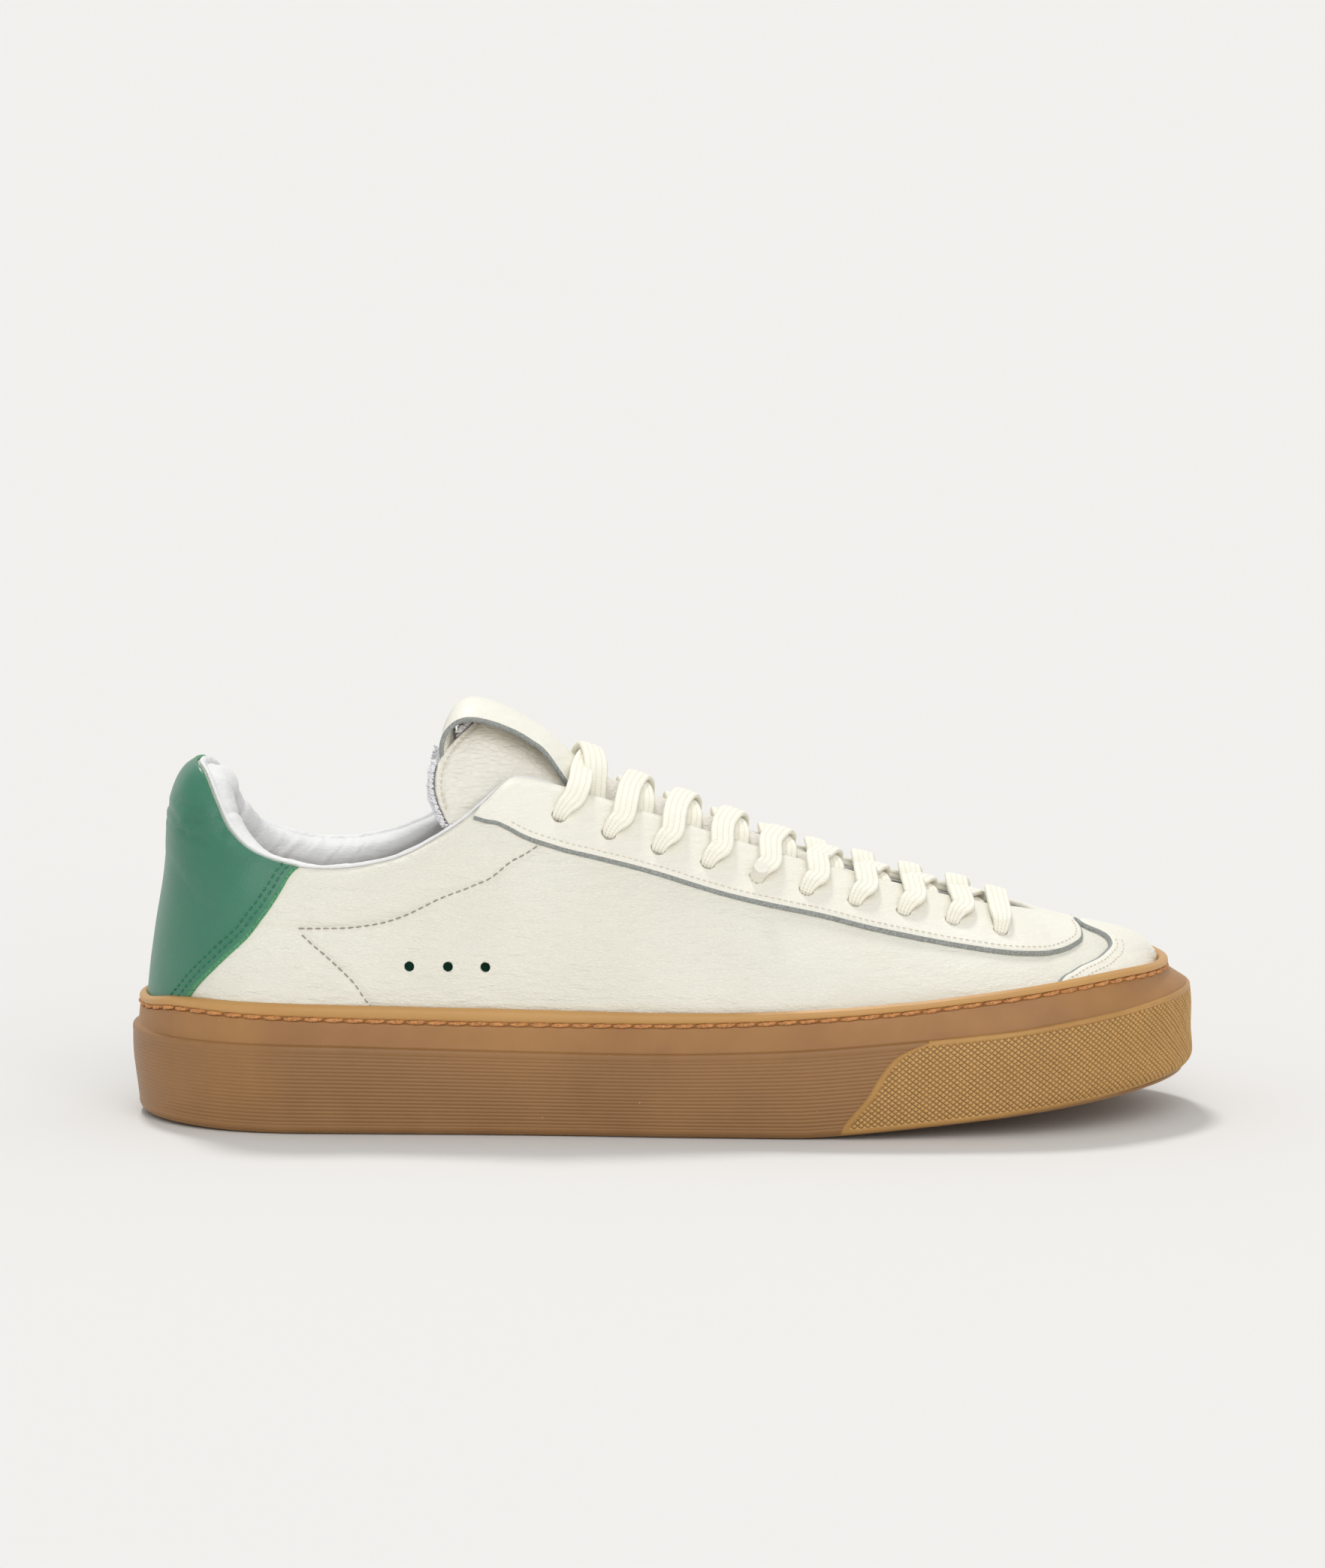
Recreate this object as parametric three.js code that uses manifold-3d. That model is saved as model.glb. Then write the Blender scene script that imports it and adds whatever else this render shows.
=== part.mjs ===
// A court shoe for the right foot, in millimetres: +X runs from heel to toe, +Y is the inner
// (medial) side, +Z is up, and the flat of the outsole stands on z = 0.
// The shoe is drawn on stations. A station is a cross-section that starts on the sole's edge;
// its place x is a length along the sole, and the stations crowd together at heel and toe.
import * as THREE from 'three';
import { mergeVertices } from 'three/addons/utils/BufferGeometryUtils.js';
import Module from 'manifold-3d';

const LATERAL = -1;
const MEDIAL = 1;
const BOTH = [LATERAL, MEDIAL];

// Driving dimensions.
const LENGTH = 300;
const HEEL_CURVE = 0.85;
const TOE_CURVE = 0.92;
const FLAT_FROM = 45;
const FLAT_TO = 188;
const HEEL_LIFT = 1.5;
const TOE_SPRING = 11.8;
const FLOOR = 6;
const RIM_WALL = 2.4;
const FOOT_GAP = 2.2;
const LEATHER = 1.2;
const OVERLAY_GAP = 0.35;
const OVERLAY = 1.5;
const GAP = 0.3;
const THROAT_END = 255.5;
const COLLAR_END = 106;
const EYELETS = 10;
const EYELET_RADIUS = 2.4;
const FIRST_EYELET = 121;
const LAST_EYELET = 249;
const STATIONS = 30;
const ROWS = 6;

const clamp = (value, low, high) => Math.min(high, Math.max(low, value));
const mix = (from, to, share) => from + (to - from) * share;

// A smooth curve through a few [x, y] points, level beyond its two ends.
function through(...points) {
  const last = points.length - 1;
  const slopes = points.map((point, i) => {
    const before = points[Math.max(0, i - 1)];
    const after = points[Math.min(last, i + 1)];
    return (after[1] - before[1]) / (after[0] - before[0]);
  });
  return (place) => {
    const x = clamp(place, points[0][0], points[last][0]);
    let i = 0;
    while (i < last - 1 && x >= points[i + 1][0]) i += 1;
    const [x0, y0] = points[i];
    const [x1, y1] = points[i + 1];
    const span = x1 - x0;
    const t = (x - x0) / span;
    const start = (2 * t ** 3 - 3 * t ** 2 + 1) * y0 + (t ** 3 - 2 * t ** 2 + t) * span * slopes[i];
    return start + (3 * t ** 2 - 2 * t ** 3) * y1 + (t ** 3 - t ** 2) * span * slopes[i + 1];
  };
}

// The middle of the sole bows inward at the toe, and the top of the upper follows most of it.
const soleAxis = through([0, 0], [150, -1], [230, 2.5], [300, 6]);
const topAxis = (x) => 0.8 * soleAxis(x);

// The sole: the half widths of its edge, the heights of its step and rim, and the rim's inset.
const soleHalf = {
  [LATERAL]: through([0, 41], [60, 42], [110, 43.5], [160, 48], [205, 52], [245, 51], [300, 46]),
  [MEDIAL]: through([0, 41], [60, 40.5], [110, 39.5], [150, 43], [200, 51], [245, 52], [300, 47]),
};
const stepHeight = through(
  [0, 25.5], [50, 25.2], [110, 24], [150, 23.8], [185, 25], [215, 27.3], [247, 30], [265, 32.2], [300, 36],
);
const rimHeight = through(
  [0, 37], [40, 36.6], [110, 35.4], [150, 35], [180, 35.6], [215, 37.9], [245, 41], [265, 43], [282, 44],
  [300, 43.4],
);
const rimInset = through([0, 2.3], [40, 2.2], [200, 2.2], [255, 3.4], [300, 6.9]);
const boardHeight = through([0, 28], [60, 27.2], [150, 25], [215, 24.5], [250, 27.5], [300, 34]);
const bottomHeight = (x) => {
  const heel = HEEL_LIFT * clamp(1 - x / FLAT_FROM, 0, 1) ** 2;
  return heel + TOE_SPRING * clamp((x - FLAT_TO) / (LENGTH - FLAT_TO), 0, 1) ** 1.2;
};
const floorHeight = (x) => bottomHeight(x) + FLOOR;

// The upper: its top line runs along the collar, up to the facing, down the throat's edge to
// its end, and then along the ridge of the toe.
const topHeight = through(
  [18.8, 99.8], [21.6, 98], [25, 91], [29, 83.3], [37, 77], [54, 73.2], [75, 76], [90, 83.5],
  [100, 90.8], [106, 96.3], [109, 97.4], [120, 94.8], [150, 85.2], [184, 74], [214, 65.8],
  [242, 58.6], [262, 53.5], [279, 50], [285, 47.4], [289, 43],
);
const topHalf = through(
  [18, 24], [30, 27], [44, 29.5], [75, 30.5], [90, 28.8], [100, 25.5], [109, 20.5], [120, 17.5],
  [150, 15], [184, 13], [214, 11.2], [236, 9.6], [246, 7], [252, 3.5], [THROAT_END, 0],
);
const topSlope = through(
  [18, 80], [90, 72], [108, 58], [125, 48], [150, 42], [200, 30], [240, 16], [256, 0],
);
const footBulge = through([0, 0.1], [30, 0.15], [80, 0.1], [200, 0.1], [250, 0.05], [300, 0.02]);
const heelLean = (x) => 12.1 * clamp(1 - (x - 6.7) / 88, 0, 1) ** 1.6;

// Padding, lining and stiffening under the outer leather.
const collarPad = through([0, 9], [25, 8.5], [60, 7.5], [80, 5], [96, 1.2], [COLLAR_END, 0.8]);
const padFoot = through([0, 0.5], [60, 0.62], [COLLAR_END, 0.7]);
const liningDepth = through([60, 3.1], [104, 2.3], [114, 1.5], [252, 1.5], [262, 2.8]);

// The tongue: an arch of height z = crown - arch * y * y, in front of the ankle.
const tongueCrown = through(
  [84, 115.4], [97, 111], [109, 105.4], [130, 96.6], [150, 88.9], [181, 76.8], [207, 66.4],
  [232, 59.6], [250, 53], [256, 50.6],
);
const tongueArch = through(
  [86, 0.05], [109, 0.048], [130, 0.046], [181, 0.044], [207, 0.036], [256, 0.03],
);
const tongueHalf = through(
  [86, 21], [97, 21], [109, 21.5], [130, 24], [181, 28], [207, 28], [232, 25], [256, 20],
);
const tonguePad = through([86, 1.5], [104, 3.4], [140, 3.4], [165, 1.6], [250, 1.2]);
const TONGUE_BASE = 253;
const TONGUE_LEATHER = 1.4;
const TERRY = 0.8;

const angleAt = (x) => Math.acos(1 - 2 * clamp(x, 0, LENGTH) / LENGTH);
const stationX = (angle) => LENGTH / 2 * (1 - Math.cos(angle));
function closing(angle, heel, toe) {
  const rear = Math.sin(Math.PI / 2 * Math.min(1, angle / heel));
  return rear * Math.sin(Math.PI / 2 * Math.min(1, (Math.PI - angle) / toe));
}

function edgePoint(angle, side) {
  const x = stationX(angle);
  const half = soleHalf[side](x) * closing(angle, HEEL_CURVE, TOE_CURVE);
  return new THREE.Vector3(x, soleAxis(x) + side * half, 0);
}

// A point set in from the sole's edge, square to it, at height z.
function solePoint(angle, side, inset, z) {
  const point = edgePoint(angle, side);
  const step = 0.001;
  const run = edgePoint(Math.min(Math.PI, angle + step), side);
  run.sub(edgePoint(Math.max(0, angle - step), side)).normalize();
  const atEnd = angle < step || angle > Math.PI - step;
  point.x += atEnd ? inset * (angle < 1 ? 1 : -1) : inset * side * run.y;
  point.y -= atEnd ? 0 : inset * side * run.x;
  point.z = z;
  return point;
}

const HEEL_FOOT = rimInset(0) + RIM_WALL + FOOT_GAP;
const TOE_FOOT = LENGTH - rimInset(LENGTH) - RIM_WALL - FOOT_GAP;
function topX(angle) {
  const x = mix(HEEL_FOOT, TOE_FOOT, stationX(angle) / LENGTH);
  return x + heelLean(x);
}
const onRidge = (angle, v) => v > 0.999 && topX(angle) > THROAT_END;

function footPoint(angle, side) {
  const x = stationX(angle);
  const inset = rimInset(x) + RIM_WALL + FOOT_GAP;
  return solePoint(angle, side, inset, boardHeight(x) + 1);
}

// The wall of the upper: v runs from 0 at its foot to 1 at its top line.
function bareWall(angle, side, v) {
  const foot = footPoint(angle, side);
  const x = topX(angle);
  const half = topHalf(x) * Math.sin(Math.PI / 2 * Math.min(1, angle / 0.62));
  const top = new THREE.Vector3(x, topAxis(x) + side * half, topHeight(x));
  const rise = top.z - foot.z;
  const slope = topSlope(x) * Math.PI / 180;
  const reach = 0.36 * Math.hypot(top.y - foot.y, rise);
  const bulge = footBulge(foot.x) * rise * 0.9 * closing(angle, HEEL_CURVE, 0.9);
  const outward = Math.cos(slope) * reach * closing(angle, 0.5, 0.9);
  const weights = [(1 - v) ** 3, 3 * v * (1 - v) ** 2, 3 * v * v * (1 - v), v ** 3];
  const ys = [foot.y, foot.y + side * bulge, top.y + side * outward, top.y];
  const zs = [foot.z, foot.z + rise * 0.36, top.z - Math.sin(slope) * reach, top.z];
  const y = weights.reduce((sum, weight, i) => sum + weight * ys[i], 0);
  const z = weights.reduce((sum, weight, i) => sum + weight * zs[i], 0);
  const share = (z - foot.z) / rise;
  return new THREE.Vector3(mix(foot.x, top.x, 0.55 * share + 0.45 * share ** 16), y, z);
}

function wallNormal(angle, side, v) {
  const along = bareWall(Math.min(Math.PI, angle + 0.02), side, v);
  along.sub(bareWall(Math.max(0, angle - 0.02), side, v));
  const up = bareWall(angle, side, Math.min(1, v + 0.01)).sub(bareWall(angle, side, Math.max(0, v - 0.01)));
  if (onRidge(angle, v)) return new THREE.Vector3(-along.z, 0, along.x).normalize();
  if (angle < 1e-6) return new THREE.Vector3(-up.z, 0, up.x).normalize();
  if (angle > Math.PI - 1e-6) return new THREE.Vector3(up.z, 0, -up.x).normalize();
  return new THREE.Vector3().crossVectors(along, up).multiplyScalar(-side).normalize();
}

// A point of the wall, out from its surface by the distance off.
function wall(angle, side, v, off = 0) {
  return bareWall(angle, side, v).addScaledVector(wallNormal(angle, side, v), off);
}

// Meshes. A body is a list of triangles; where two patches of it meet, their shared faces go.
function closedBody(triangles) {
  const key = (p) => `${p.x.toFixed(4)},${p.y.toFixed(4)},${p.z.toFixed(4)}`;
  const faces = new Map();
  triangles.forEach((triangle) => {
    const corners = triangle.map(key);
    if (new Set(corners).size < 3) return;
    const name = [...corners].sort().join(' ');
    if (faces.has(name)) faces.delete(name);
    else faces.set(name, triangle);
  });
  const positions = [...faces.values()].flatMap((triangle) => triangle.flatMap((p) => [p.x, p.y, p.z]));
  const geometry = new THREE.BufferGeometry();
  geometry.setAttribute('position', new THREE.Float32BufferAttribute(positions, 3));
  return mergeVertices(geometry, 0.001);
}

const quad = (a, b, c, d) => [[a, b, c], [a, c, d]];

// The six sides of a curved block: at(i, j, k) gives its grid points, k being 0 inside and 1 outside.
function block(columns, rows, at, flip) {
  const grid = [0, 1].map((k) => Array.from({ length: columns + 1 }, (_, i) => (
    Array.from({ length: rows + 1 }, (__, j) => at(i, j, k))
  )));
  const faces = [];
  for (let i = 0; i < columns; i += 1) {
    for (let j = 0; j < rows; j += 1) {
      const [low, high] = grid.map((layer) => (
        [layer[i][j], layer[i + 1][j], layer[i + 1][j + 1], layer[i][j + 1]]
      ));
      faces.push(...quad(high[0], high[1], high[2], high[3]));
      faces.push(...quad(low[0], low[1], low[2], low[3]).map((face) => face.reverse()));
    }
  }
  for (let i = 0; i < columns; i += 1) {
    faces.push(...quad(grid[0][i][0], grid[0][i + 1][0], grid[1][i + 1][0], grid[1][i][0]));
    faces.push(...quad(grid[1][i][rows], grid[1][i + 1][rows], grid[0][i + 1][rows], grid[0][i][rows]));
  }
  for (let j = 0; j < rows; j += 1) {
    faces.push(...quad(grid[1][0][j], grid[1][0][j + 1], grid[0][0][j + 1], grid[0][0][j]));
    const [near, far] = [grid[0][columns], grid[1][columns]];
    faces.push(...quad(near[j], near[j + 1], far[j + 1], far[j]));
  }
  return flip ? faces.map((face) => face.reverse()) : faces;
}

// A layer of the wall between two depths, on the stations and rows that all layers share.
const stationAngle = (i) => Math.PI * i / STATIONS;
const rowAt = (j) => 1 - (1 - j / ROWS) ** 1.35;
const nearestStation = (x) => Math.round(angleAt(x) / Math.PI * STATIONS);
// A left panel and a right one part by a small gap, behind the heel and along the toe's ridge.
function parted(point, angle, side, v) {
  if (angle < 1e-6 || onRidge(angle, v)) point.y += side * GAP / 2;
  return point;
}
function layer(sides, from, to, lowRow, highRow, inner, outer) {
  const first = nearestStation(from);
  const columns = nearestStation(to) - first;
  const depth = (value, angle, v) => (typeof value === 'function' ? value(stationX(angle), v) : value);
  return closedBody(sides.flatMap((side) => block(columns, highRow - lowRow, (i, j, k) => {
    const angle = stationAngle(first + i);
    const v = rowAt(lowRow + j);
    const point = wall(angle, side, v, depth(k ? outer : inner, angle, v));
    return sides.length > 1 ? point : parted(point, angle, side, v);
  }, side === MEDIAL)));
}

// Rings of points, one for each station, joined into a skin that folds shut at both ends.
function skin(rings) {
  const faces = [];
  for (let i = 0; i + 1 < rings.length; i += 1) {
    rings[i].forEach((point, j) => {
      const next = (j + 1) % rings[i].length;
      faces.push(...quad(point, rings[i][next], rings[i + 1][next], rings[i + 1][j]));
    });
  }
  return closedBody(faces);
}

// A flat piece inside the shoe, lying between two heights and kept in from the sole's edge.
function sheet(inset, low, high, from = 0, to = LENGTH) {
  const count = 30;
  const start = angleAt(from);
  const end = angleAt(to);
  const rings = Array.from({ length: count + 1 }, (_, i) => {
    const angle = mix(start, end, i / count);
    const x = stationX(angle);
    const at = (side, height) => solePoint(angle, side, inset(x), height(x));
    return [at(LATERAL, low), at(MEDIAL, low), at(MEDIAL, high), at(LATERAL, high)];
  });
  return skin(rings);
}

// Cutting and joining of closed meshes.
const wasm = await Module();
wasm.setup();

function toSolid(geometry) {
  const bare = geometry.clone();
  bare.deleteAttribute('normal');
  bare.deleteAttribute('uv');
  const merged = mergeVertices(bare, 1e-4);
  const vertProperties = new Float32Array(merged.attributes.position.array);
  const triVerts = new Uint32Array(merged.index.array);
  return new wasm.Manifold(new wasm.Mesh({ numProp: 3, vertProperties, triVerts }));
}

function toGeometry(solid) {
  const result = solid.getMesh();
  const geometry = new THREE.BufferGeometry();
  geometry.setAttribute('position', new THREE.BufferAttribute(result.vertProperties, 3));
  geometry.setIndex(new THREE.BufferAttribute(result.triVerts, 1));
  return geometry;
}

function cut(geometry, ...tools) {
  return toGeometry(tools.reduce((solid, tool) => solid.subtract(toSolid(tool)), toSolid(geometry)));
}

const keepInside = (geometry, tool) => toGeometry(toSolid(geometry).intersect(toSolid(tool)));

// A side-view outline made into a block right through the shoe. Its first points follow a
// smooth edge of the pattern, and its last ones go round well outside the shoe.
function throughShoe(edge, corners) {
  const shape = new THREE.Shape([
    ...new THREE.SplineCurve(edge.map(([x, z]) => new THREE.Vector2(x, z))).getPoints(edge.length * 2),
    ...corners.map(([x, z]) => new THREE.Vector2(x, z)),
  ]);
  const width = 160;
  const geometry = new THREE.ExtrudeGeometry(shape, { depth: width, bevelEnabled: false });
  geometry.rotateX(Math.PI / 2);
  geometry.translate(0, width / 2, 0);
  return geometry;
}

// One moulded cup: flat tread, ribbed side, step, upper band, stitch groove, rolled rim and
// the walls and floor of the hollow that the upper stands in.
function cupProfile(x) {
  const bottom = bottomHeight(x);
  const step = stepHeight(x);
  const rim = rimHeight(x);
  const edge = rimInset(x);
  const inner = edge + RIM_WALL;
  return [
    [3.8, bottom], [2.1, bottom + 1.6], [0.2, mix(bottom, step, 0.66)], [0, step - 1], [1.6, step + 0.2],
    [edge + 0.2, rim - 5.8], [edge + 1.5, rim - 4.6], [edge, rim - 3.4], [edge + 0.1, rim - 1.2],
    [edge + 1.2, rim], [inner, rim - 1], [inner, floorHeight(x) + 2], [inner + 2, floorHeight(x)],
  ];
}

function makeCupsole() {
  const rings = Array.from({ length: STATIONS + 1 }, (_, i) => {
    const angle = stationAngle(i);
    const profile = cupProfile(stationX(angle));
    const points = (side) => profile.map(([inset, z]) => solePoint(angle, side, inset, z));
    return [...points(MEDIAL), ...points(LATERAL).reverse()];
  });
  return skin(rings);
}

// The lock stitch of the side wall, drawn as one thread lying in the groove all round.
function makeSidewallThread() {
  const radius = 0.45;
  const spokes = 4;
  const inset = 0.35;
  const below = 4.6;
  const ring = (angle, side) => {
    const x = stationX(angle);
    return Array.from({ length: spokes }, (_, i) => {
      const turn = 2 * Math.PI * i / spokes;
      const out = rimInset(x) + inset + radius * Math.cos(turn);
      return solePoint(angle, side, out, rimHeight(x) - below + radius * Math.sin(turn));
    });
  };
  const faces = [];
  BOTH.forEach((side) => {
    for (let i = 0; i < STATIONS; i += 1) {
      const near = ring(stationAngle(i), side);
      const far = ring(stationAngle(i + 1), side);
      near.forEach((point, j) => {
        const next = (j + 1) % spokes;
        const pair = quad(point, far[j], far[next], near[next]);
        faces.push(...(side === MEDIAL ? pair : pair.map((face) => face.reverse())));
      });
    }
  });
  return closedBody(faces);
}

// Everything that lies flat in the cup, from the floor up.
const cupInner = (x) => rimInset(x) + RIM_WALL + GAP;
const bedGap = through([0, 2.2], [200, 2.4], [240, 4], [300, 6.5]);
const liningInner = (x) => rimInset(x) + RIM_WALL + FOOT_GAP + liningDepth(x) + bedGap(x);
const fillerFloor = (x) => floorHeight(x) + GAP;
const fillerTop = (x) => boardHeight(x) - 2.5;
const boardLow = (x) => boardHeight(x) - 1.7;
const boardTop = (x) => boardHeight(x);
const bedLow = (x) => boardHeight(x) + GAP;
const bedTop = (x) => boardHeight(x) + 4.3;
const coverLow = (x) => boardHeight(x) + 4.6;
const coverTop = (x) => boardHeight(x) + 5.8;
const makeFiller = () => sheet((x) => cupInner(x) + 2.4, fillerFloor, fillerTop);
const makeStrobelBoard = () => sheet((x) => cupInner(x) + 0.6, boardLow, boardTop);
const makeFootbedFoam = () => sheet(liningInner, bedLow, bedTop);
const makeFootbedCover = () => sheet(liningInner, coverLow, coverTop);

// Eyelets: plain punched holes, in a row along each facing.
const eyeletRow = through([119, 0.872], [134, 0.842], [207, 0.784], [236, 0.757], [252, 0.715]);
const eyeletX = (k) => mix(FIRST_EYELET, LAST_EYELET, k / (EYELETS - 1));
const eyeletPitch = (LAST_EYELET - FIRST_EYELET) / (EYELETS - 1);
function punch(x, side, v, radius) {
  const tool = new THREE.CylinderGeometry(radius, radius, 12, 8);
  const angle = angleAt(x);
  const up = new THREE.Vector3(0, 1, 0);
  tool.applyQuaternion(new THREE.Quaternion().setFromUnitVectors(up, wallNormal(angle, side, v)));
  const centre = wall(angle, side, v);
  return tool.translate(centre.x, centre.y, centre.z);
}
const eyeletTools = (side) => Array.from({ length: EYELETS }, (_, k) => (
  punch(eyeletX(k), side, eyeletRow(eyeletX(k)), EYELET_RADIUS)
));
const VENTS = [[79, 0.368], [90, 0.333], [100.5, 0.293]];
const VENT_RADIUS = 1.4;

// The outer leather: two side panels that run from the heel seam to under the toe cap.
const PANEL_FRONT = 283;
function makeQuarter(side) {
  const panel = layer([side], 0, PANEL_FRONT, 0, ROWS, -LEATHER, 0);
  const vents = VENTS.map(([x, v]) => punch(x, side, v, VENT_RADIUS));
  return cut(panel, ...eyeletTools(side), ...vents);
}

// The overlays that are sewn on it: eyestay, heel tab and toe cap, cut along their side-view edges.
const overlay = (from, to, lowRow) => layer(BOTH, from, to, lowRow, ROWS, OVERLAY_GAP, OVERLAY);
const eyestayEdge = [
  [88, 88.6], [97.5, 87.1], [110, 83], [121, 78.9], [146.6, 72.2], [168.6, 65.8], [192.7, 60.1],
  [223.2, 53.1], [238.5, 50.3], [253.9, 48.2], [260.2, 48.1], [265, 49], [268, 51], [269, 56],
];
function makeEyestay() {
  const outline = throughShoe(eyestayEdge, [[269, 130], [88, 130]]);
  const body = keepInside(overlay(94, 286, 2), outline);
  return cut(body, ...BOTH.flatMap(eyeletTools));
}

const heelTabEdge = [
  [50, 78], [47.8, 73.1], [44.8, 68.4], [37.6, 58.3], [28.7, 48.7], [20.9, 40.1], [15, 32], [12, 25],
];
const behindHeel = [[-20, 25], [-20, 130], [50, 130]];
const makeHeelTab = () => keepInside(overlay(0, 52, 0), throughShoe(heelTabEdge, behindHeel));

const toeCapEdge = [
  [270.5, 56], [271.1, 51.6], [273.2, 50.9], [275.6, 49.6], [275.8, 48.3], [274.7, 47.4],
  [269.4, 45.1], [263.5, 43.1], [259, 40], [254, 34], [250, 26],
];
const beyondToe = [[330, 26], [330, 90], [270.5, 90]];
const makeToeCap = () => keepInside(overlay(244, LENGTH, 0), throughShoe(toeCapEdge, beyondToe));

// The stiff parts behind the leather of the heel and the toe.
const makeHeelStiffener = () => layer(BOTH, 0, 58, 0, 2, -2.7, -LEATHER - GAP);
const makeToePuff = () => layer(BOTH, 262, LENGTH, 0, ROWS, -2.2, -LEATHER - GAP);

// The padded collar. q runs from the leather's top edge, over the pad, to the pad's stitch line.
function padPlace(x, q) {
  const v = 1 - (1 - padFoot(x)) * q ** 1.3;
  return { v, swell: collarPad(x) * Math.sin(Math.PI * Math.min(1, q) ** 0.75) ** 0.8 };
}
const PAD_ROWS = 6;
function padLayer(inner, outer) {
  const columns = nearestStation(COLLAR_END);
  return closedBody(BOTH.flatMap((side) => block(columns, PAD_ROWS, (i, j, k) => {
    const angle = stationAngle(i);
    const { v, swell } = padPlace(stationX(angle), 1 - j / PAD_ROWS);
    return wall(angle, side, v, (k ? outer : inner)(swell));
  }, side === MEDIAL)));
}
const FOAM_FACE = -2.2;
const makeCollarFoam = () => padLayer((swell) => FOAM_FACE - 0.6 - swell, () => FOAM_FACE);
const makeCollarLining = () => padLayer(
  (swell) => FOAM_FACE - 1.7 - swell,
  (swell) => FOAM_FACE - 0.9 - swell,
);

// The linings of the sides and the toe.
function makeQuarterLining(side) {
  const columns = nearestStation(TONGUE_BASE);
  const collarColumns = nearestStation(COLLAR_END);
  const body = closedBody(block(columns, ROWS, (i, j, k) => {
    const angle = stationAngle(i);
    const x = stationX(angle);
    const top = i <= collarColumns ? padFoot(x) - 0.02 : 1;
    const v = top * rowAt(j);
    return parted(wall(angle, side, v, -liningDepth(x) - (k ? 0 : 0.6)), angle, side, v);
  }, side === MEDIAL));
  return cut(body, ...eyeletTools(side));
}
const makeVampLining = () => layer(BOTH, THROAT_END + 8, LENGTH, 0, ROWS, -4, -3.3);

const backingPlace = (i, j, side, k) => (
  wall(angleAt(mix(73, 106, i / 4)), side, mix(0.2, 0.46, j / 2), k ? -1.7 : -2.05)
);
const makeVentBacking = (side) => closedBody(
  block(4, 2, (i, j, k) => backingPlace(i, j, side, k), side === MEDIAL),
);

// The tongue: across runs from -1 at its lateral edge to 1 at its medial edge.
const TONGUE_COLUMNS = 12;
const TONGUE_ROWS = 6;
function tongueEnd(across) {
  const near = Math.min(1, Math.abs(across) / 0.75);
  const far = Math.max(0, (Math.abs(across) - 0.75) / 0.25);
  return 97 - 11 * Math.sin(Math.PI / 2 * near) + 4 * far ** 2;
}

function bareTongue(x, across) {
  const y = across * tongueHalf(x);
  return new THREE.Vector3(x, topAxis(x) + y, tongueCrown(x) - tongueArch(x) * y * y);
}

function tongue(x, across, depth) {
  const along = bareTongue(x + 0.5, across).sub(bareTongue(x - 0.5, across));
  const aside = bareTongue(x, across + 0.01).sub(bareTongue(x, across - 0.01));
  return bareTongue(x, across).addScaledVector(along.cross(aside).normalize(), -depth);
}

function tongueLayer(base, rearInset, edge, outer, inner) {
  return closedBody(block(TONGUE_COLUMNS, TONGUE_ROWS, (i, j, k) => {
    const across = edge * mix(-1, 1, j / TONGUE_ROWS);
    const x = mix(tongueEnd(across) + rearInset, base, i / TONGUE_COLUMNS);
    return tongue(x, across, (k ? outer : inner)(x));
  }, false));
}

const FOAM_BELOW = TONGUE_LEATHER + 0.7;
const foamDepth = (x) => FOAM_BELOW + tonguePad(x);
const makeTongueShell = () => tongueLayer(TONGUE_BASE, 0, 1, () => 0, () => TONGUE_LEATHER);
const makeTongueFoam = () => tongueLayer(TONGUE_BASE - 8, 2.6, 0.93, () => FOAM_BELOW, foamDepth);
const makeTongueLining = () => (
  tongueLayer(TONGUE_BASE, 2.8, 0.98, (x) => foamDepth(x) + 0.5, (x) => foamDepth(x) + 0.5 + TERRY)
);

// The pull loop: a leather band sewn on the front of the tongue, over its top and inside it.
const LOOP_WIDTH = 28;
const LOOP_THICKNESS = 1.2;
const loopPath = new THREE.CatmullRomCurve3([
  [125.2, 99.7], [123, 102], [120.4, 105.8], [115, 111], [105, 115.6], [97, 117.3], [91, 116.6],
  [88.6, 113], [88.2, 108], [88.3, 102],
].map(([x, z]) => new THREE.Vector3(x, 0, z)));
const loopCrown = through([0, 0.045], [0.12, 0.036], [0.3, 0.01], [0.68, 0.009], [0.82, 0.035], [1, 0.05]);
const loopSweep = through([0, 0], [0.5, 0.003], [0.7, 0.01], [0.82, 0.018], [1, 0.018]);
function makeTongueLoop() {
  const columns = 20;
  const rows = 4;
  return closedBody(block(columns, rows, (i, j, k) => {
    const u = i / columns;
    const run = loopPath.getTangentAt(u);
    const y = LOOP_WIDTH * (j / rows - 0.5);
    const point = loopPath.getPointAt(u);
    point.addScaledVector(new THREE.Vector3(-run.z, 0, run.x), LOOP_THICKNESS * (k ? 0.5 : -0.5));
    const sag = new THREE.Vector3(-loopSweep(u), 0, -loopCrown(u)).multiplyScalar(y * y);
    return point.add(sag).add(new THREE.Vector3(0, topAxis(point.x) + y, 0));
  }, false));
}

// The lace: a flat cord, whole from tip to tip. It crosses the foot from eyelet to eyelet, goes
// in at each hole from above, and comes out past the facing's edge.
const LACE_WIDTH = 5;
const LACE_THICKNESS = 1.2;
const LACE_NECK = 3.2;
const LACE_OVER = OVERLAY + GAP + LACE_THICKNESS / 2 + 0.3;
const LACE_UNDER = -3.4;
function besideEyelet(k, side, up, off) {
  const x = eyeletX(k);
  const angle = angleAt(x);
  const length = bareWall(angle, side, 1).distanceTo(bareWall(angle, side, 0.7)) / 0.3;
  return wall(angle, side, Math.min(1, eyeletRow(x) + up / length), off);
}

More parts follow.
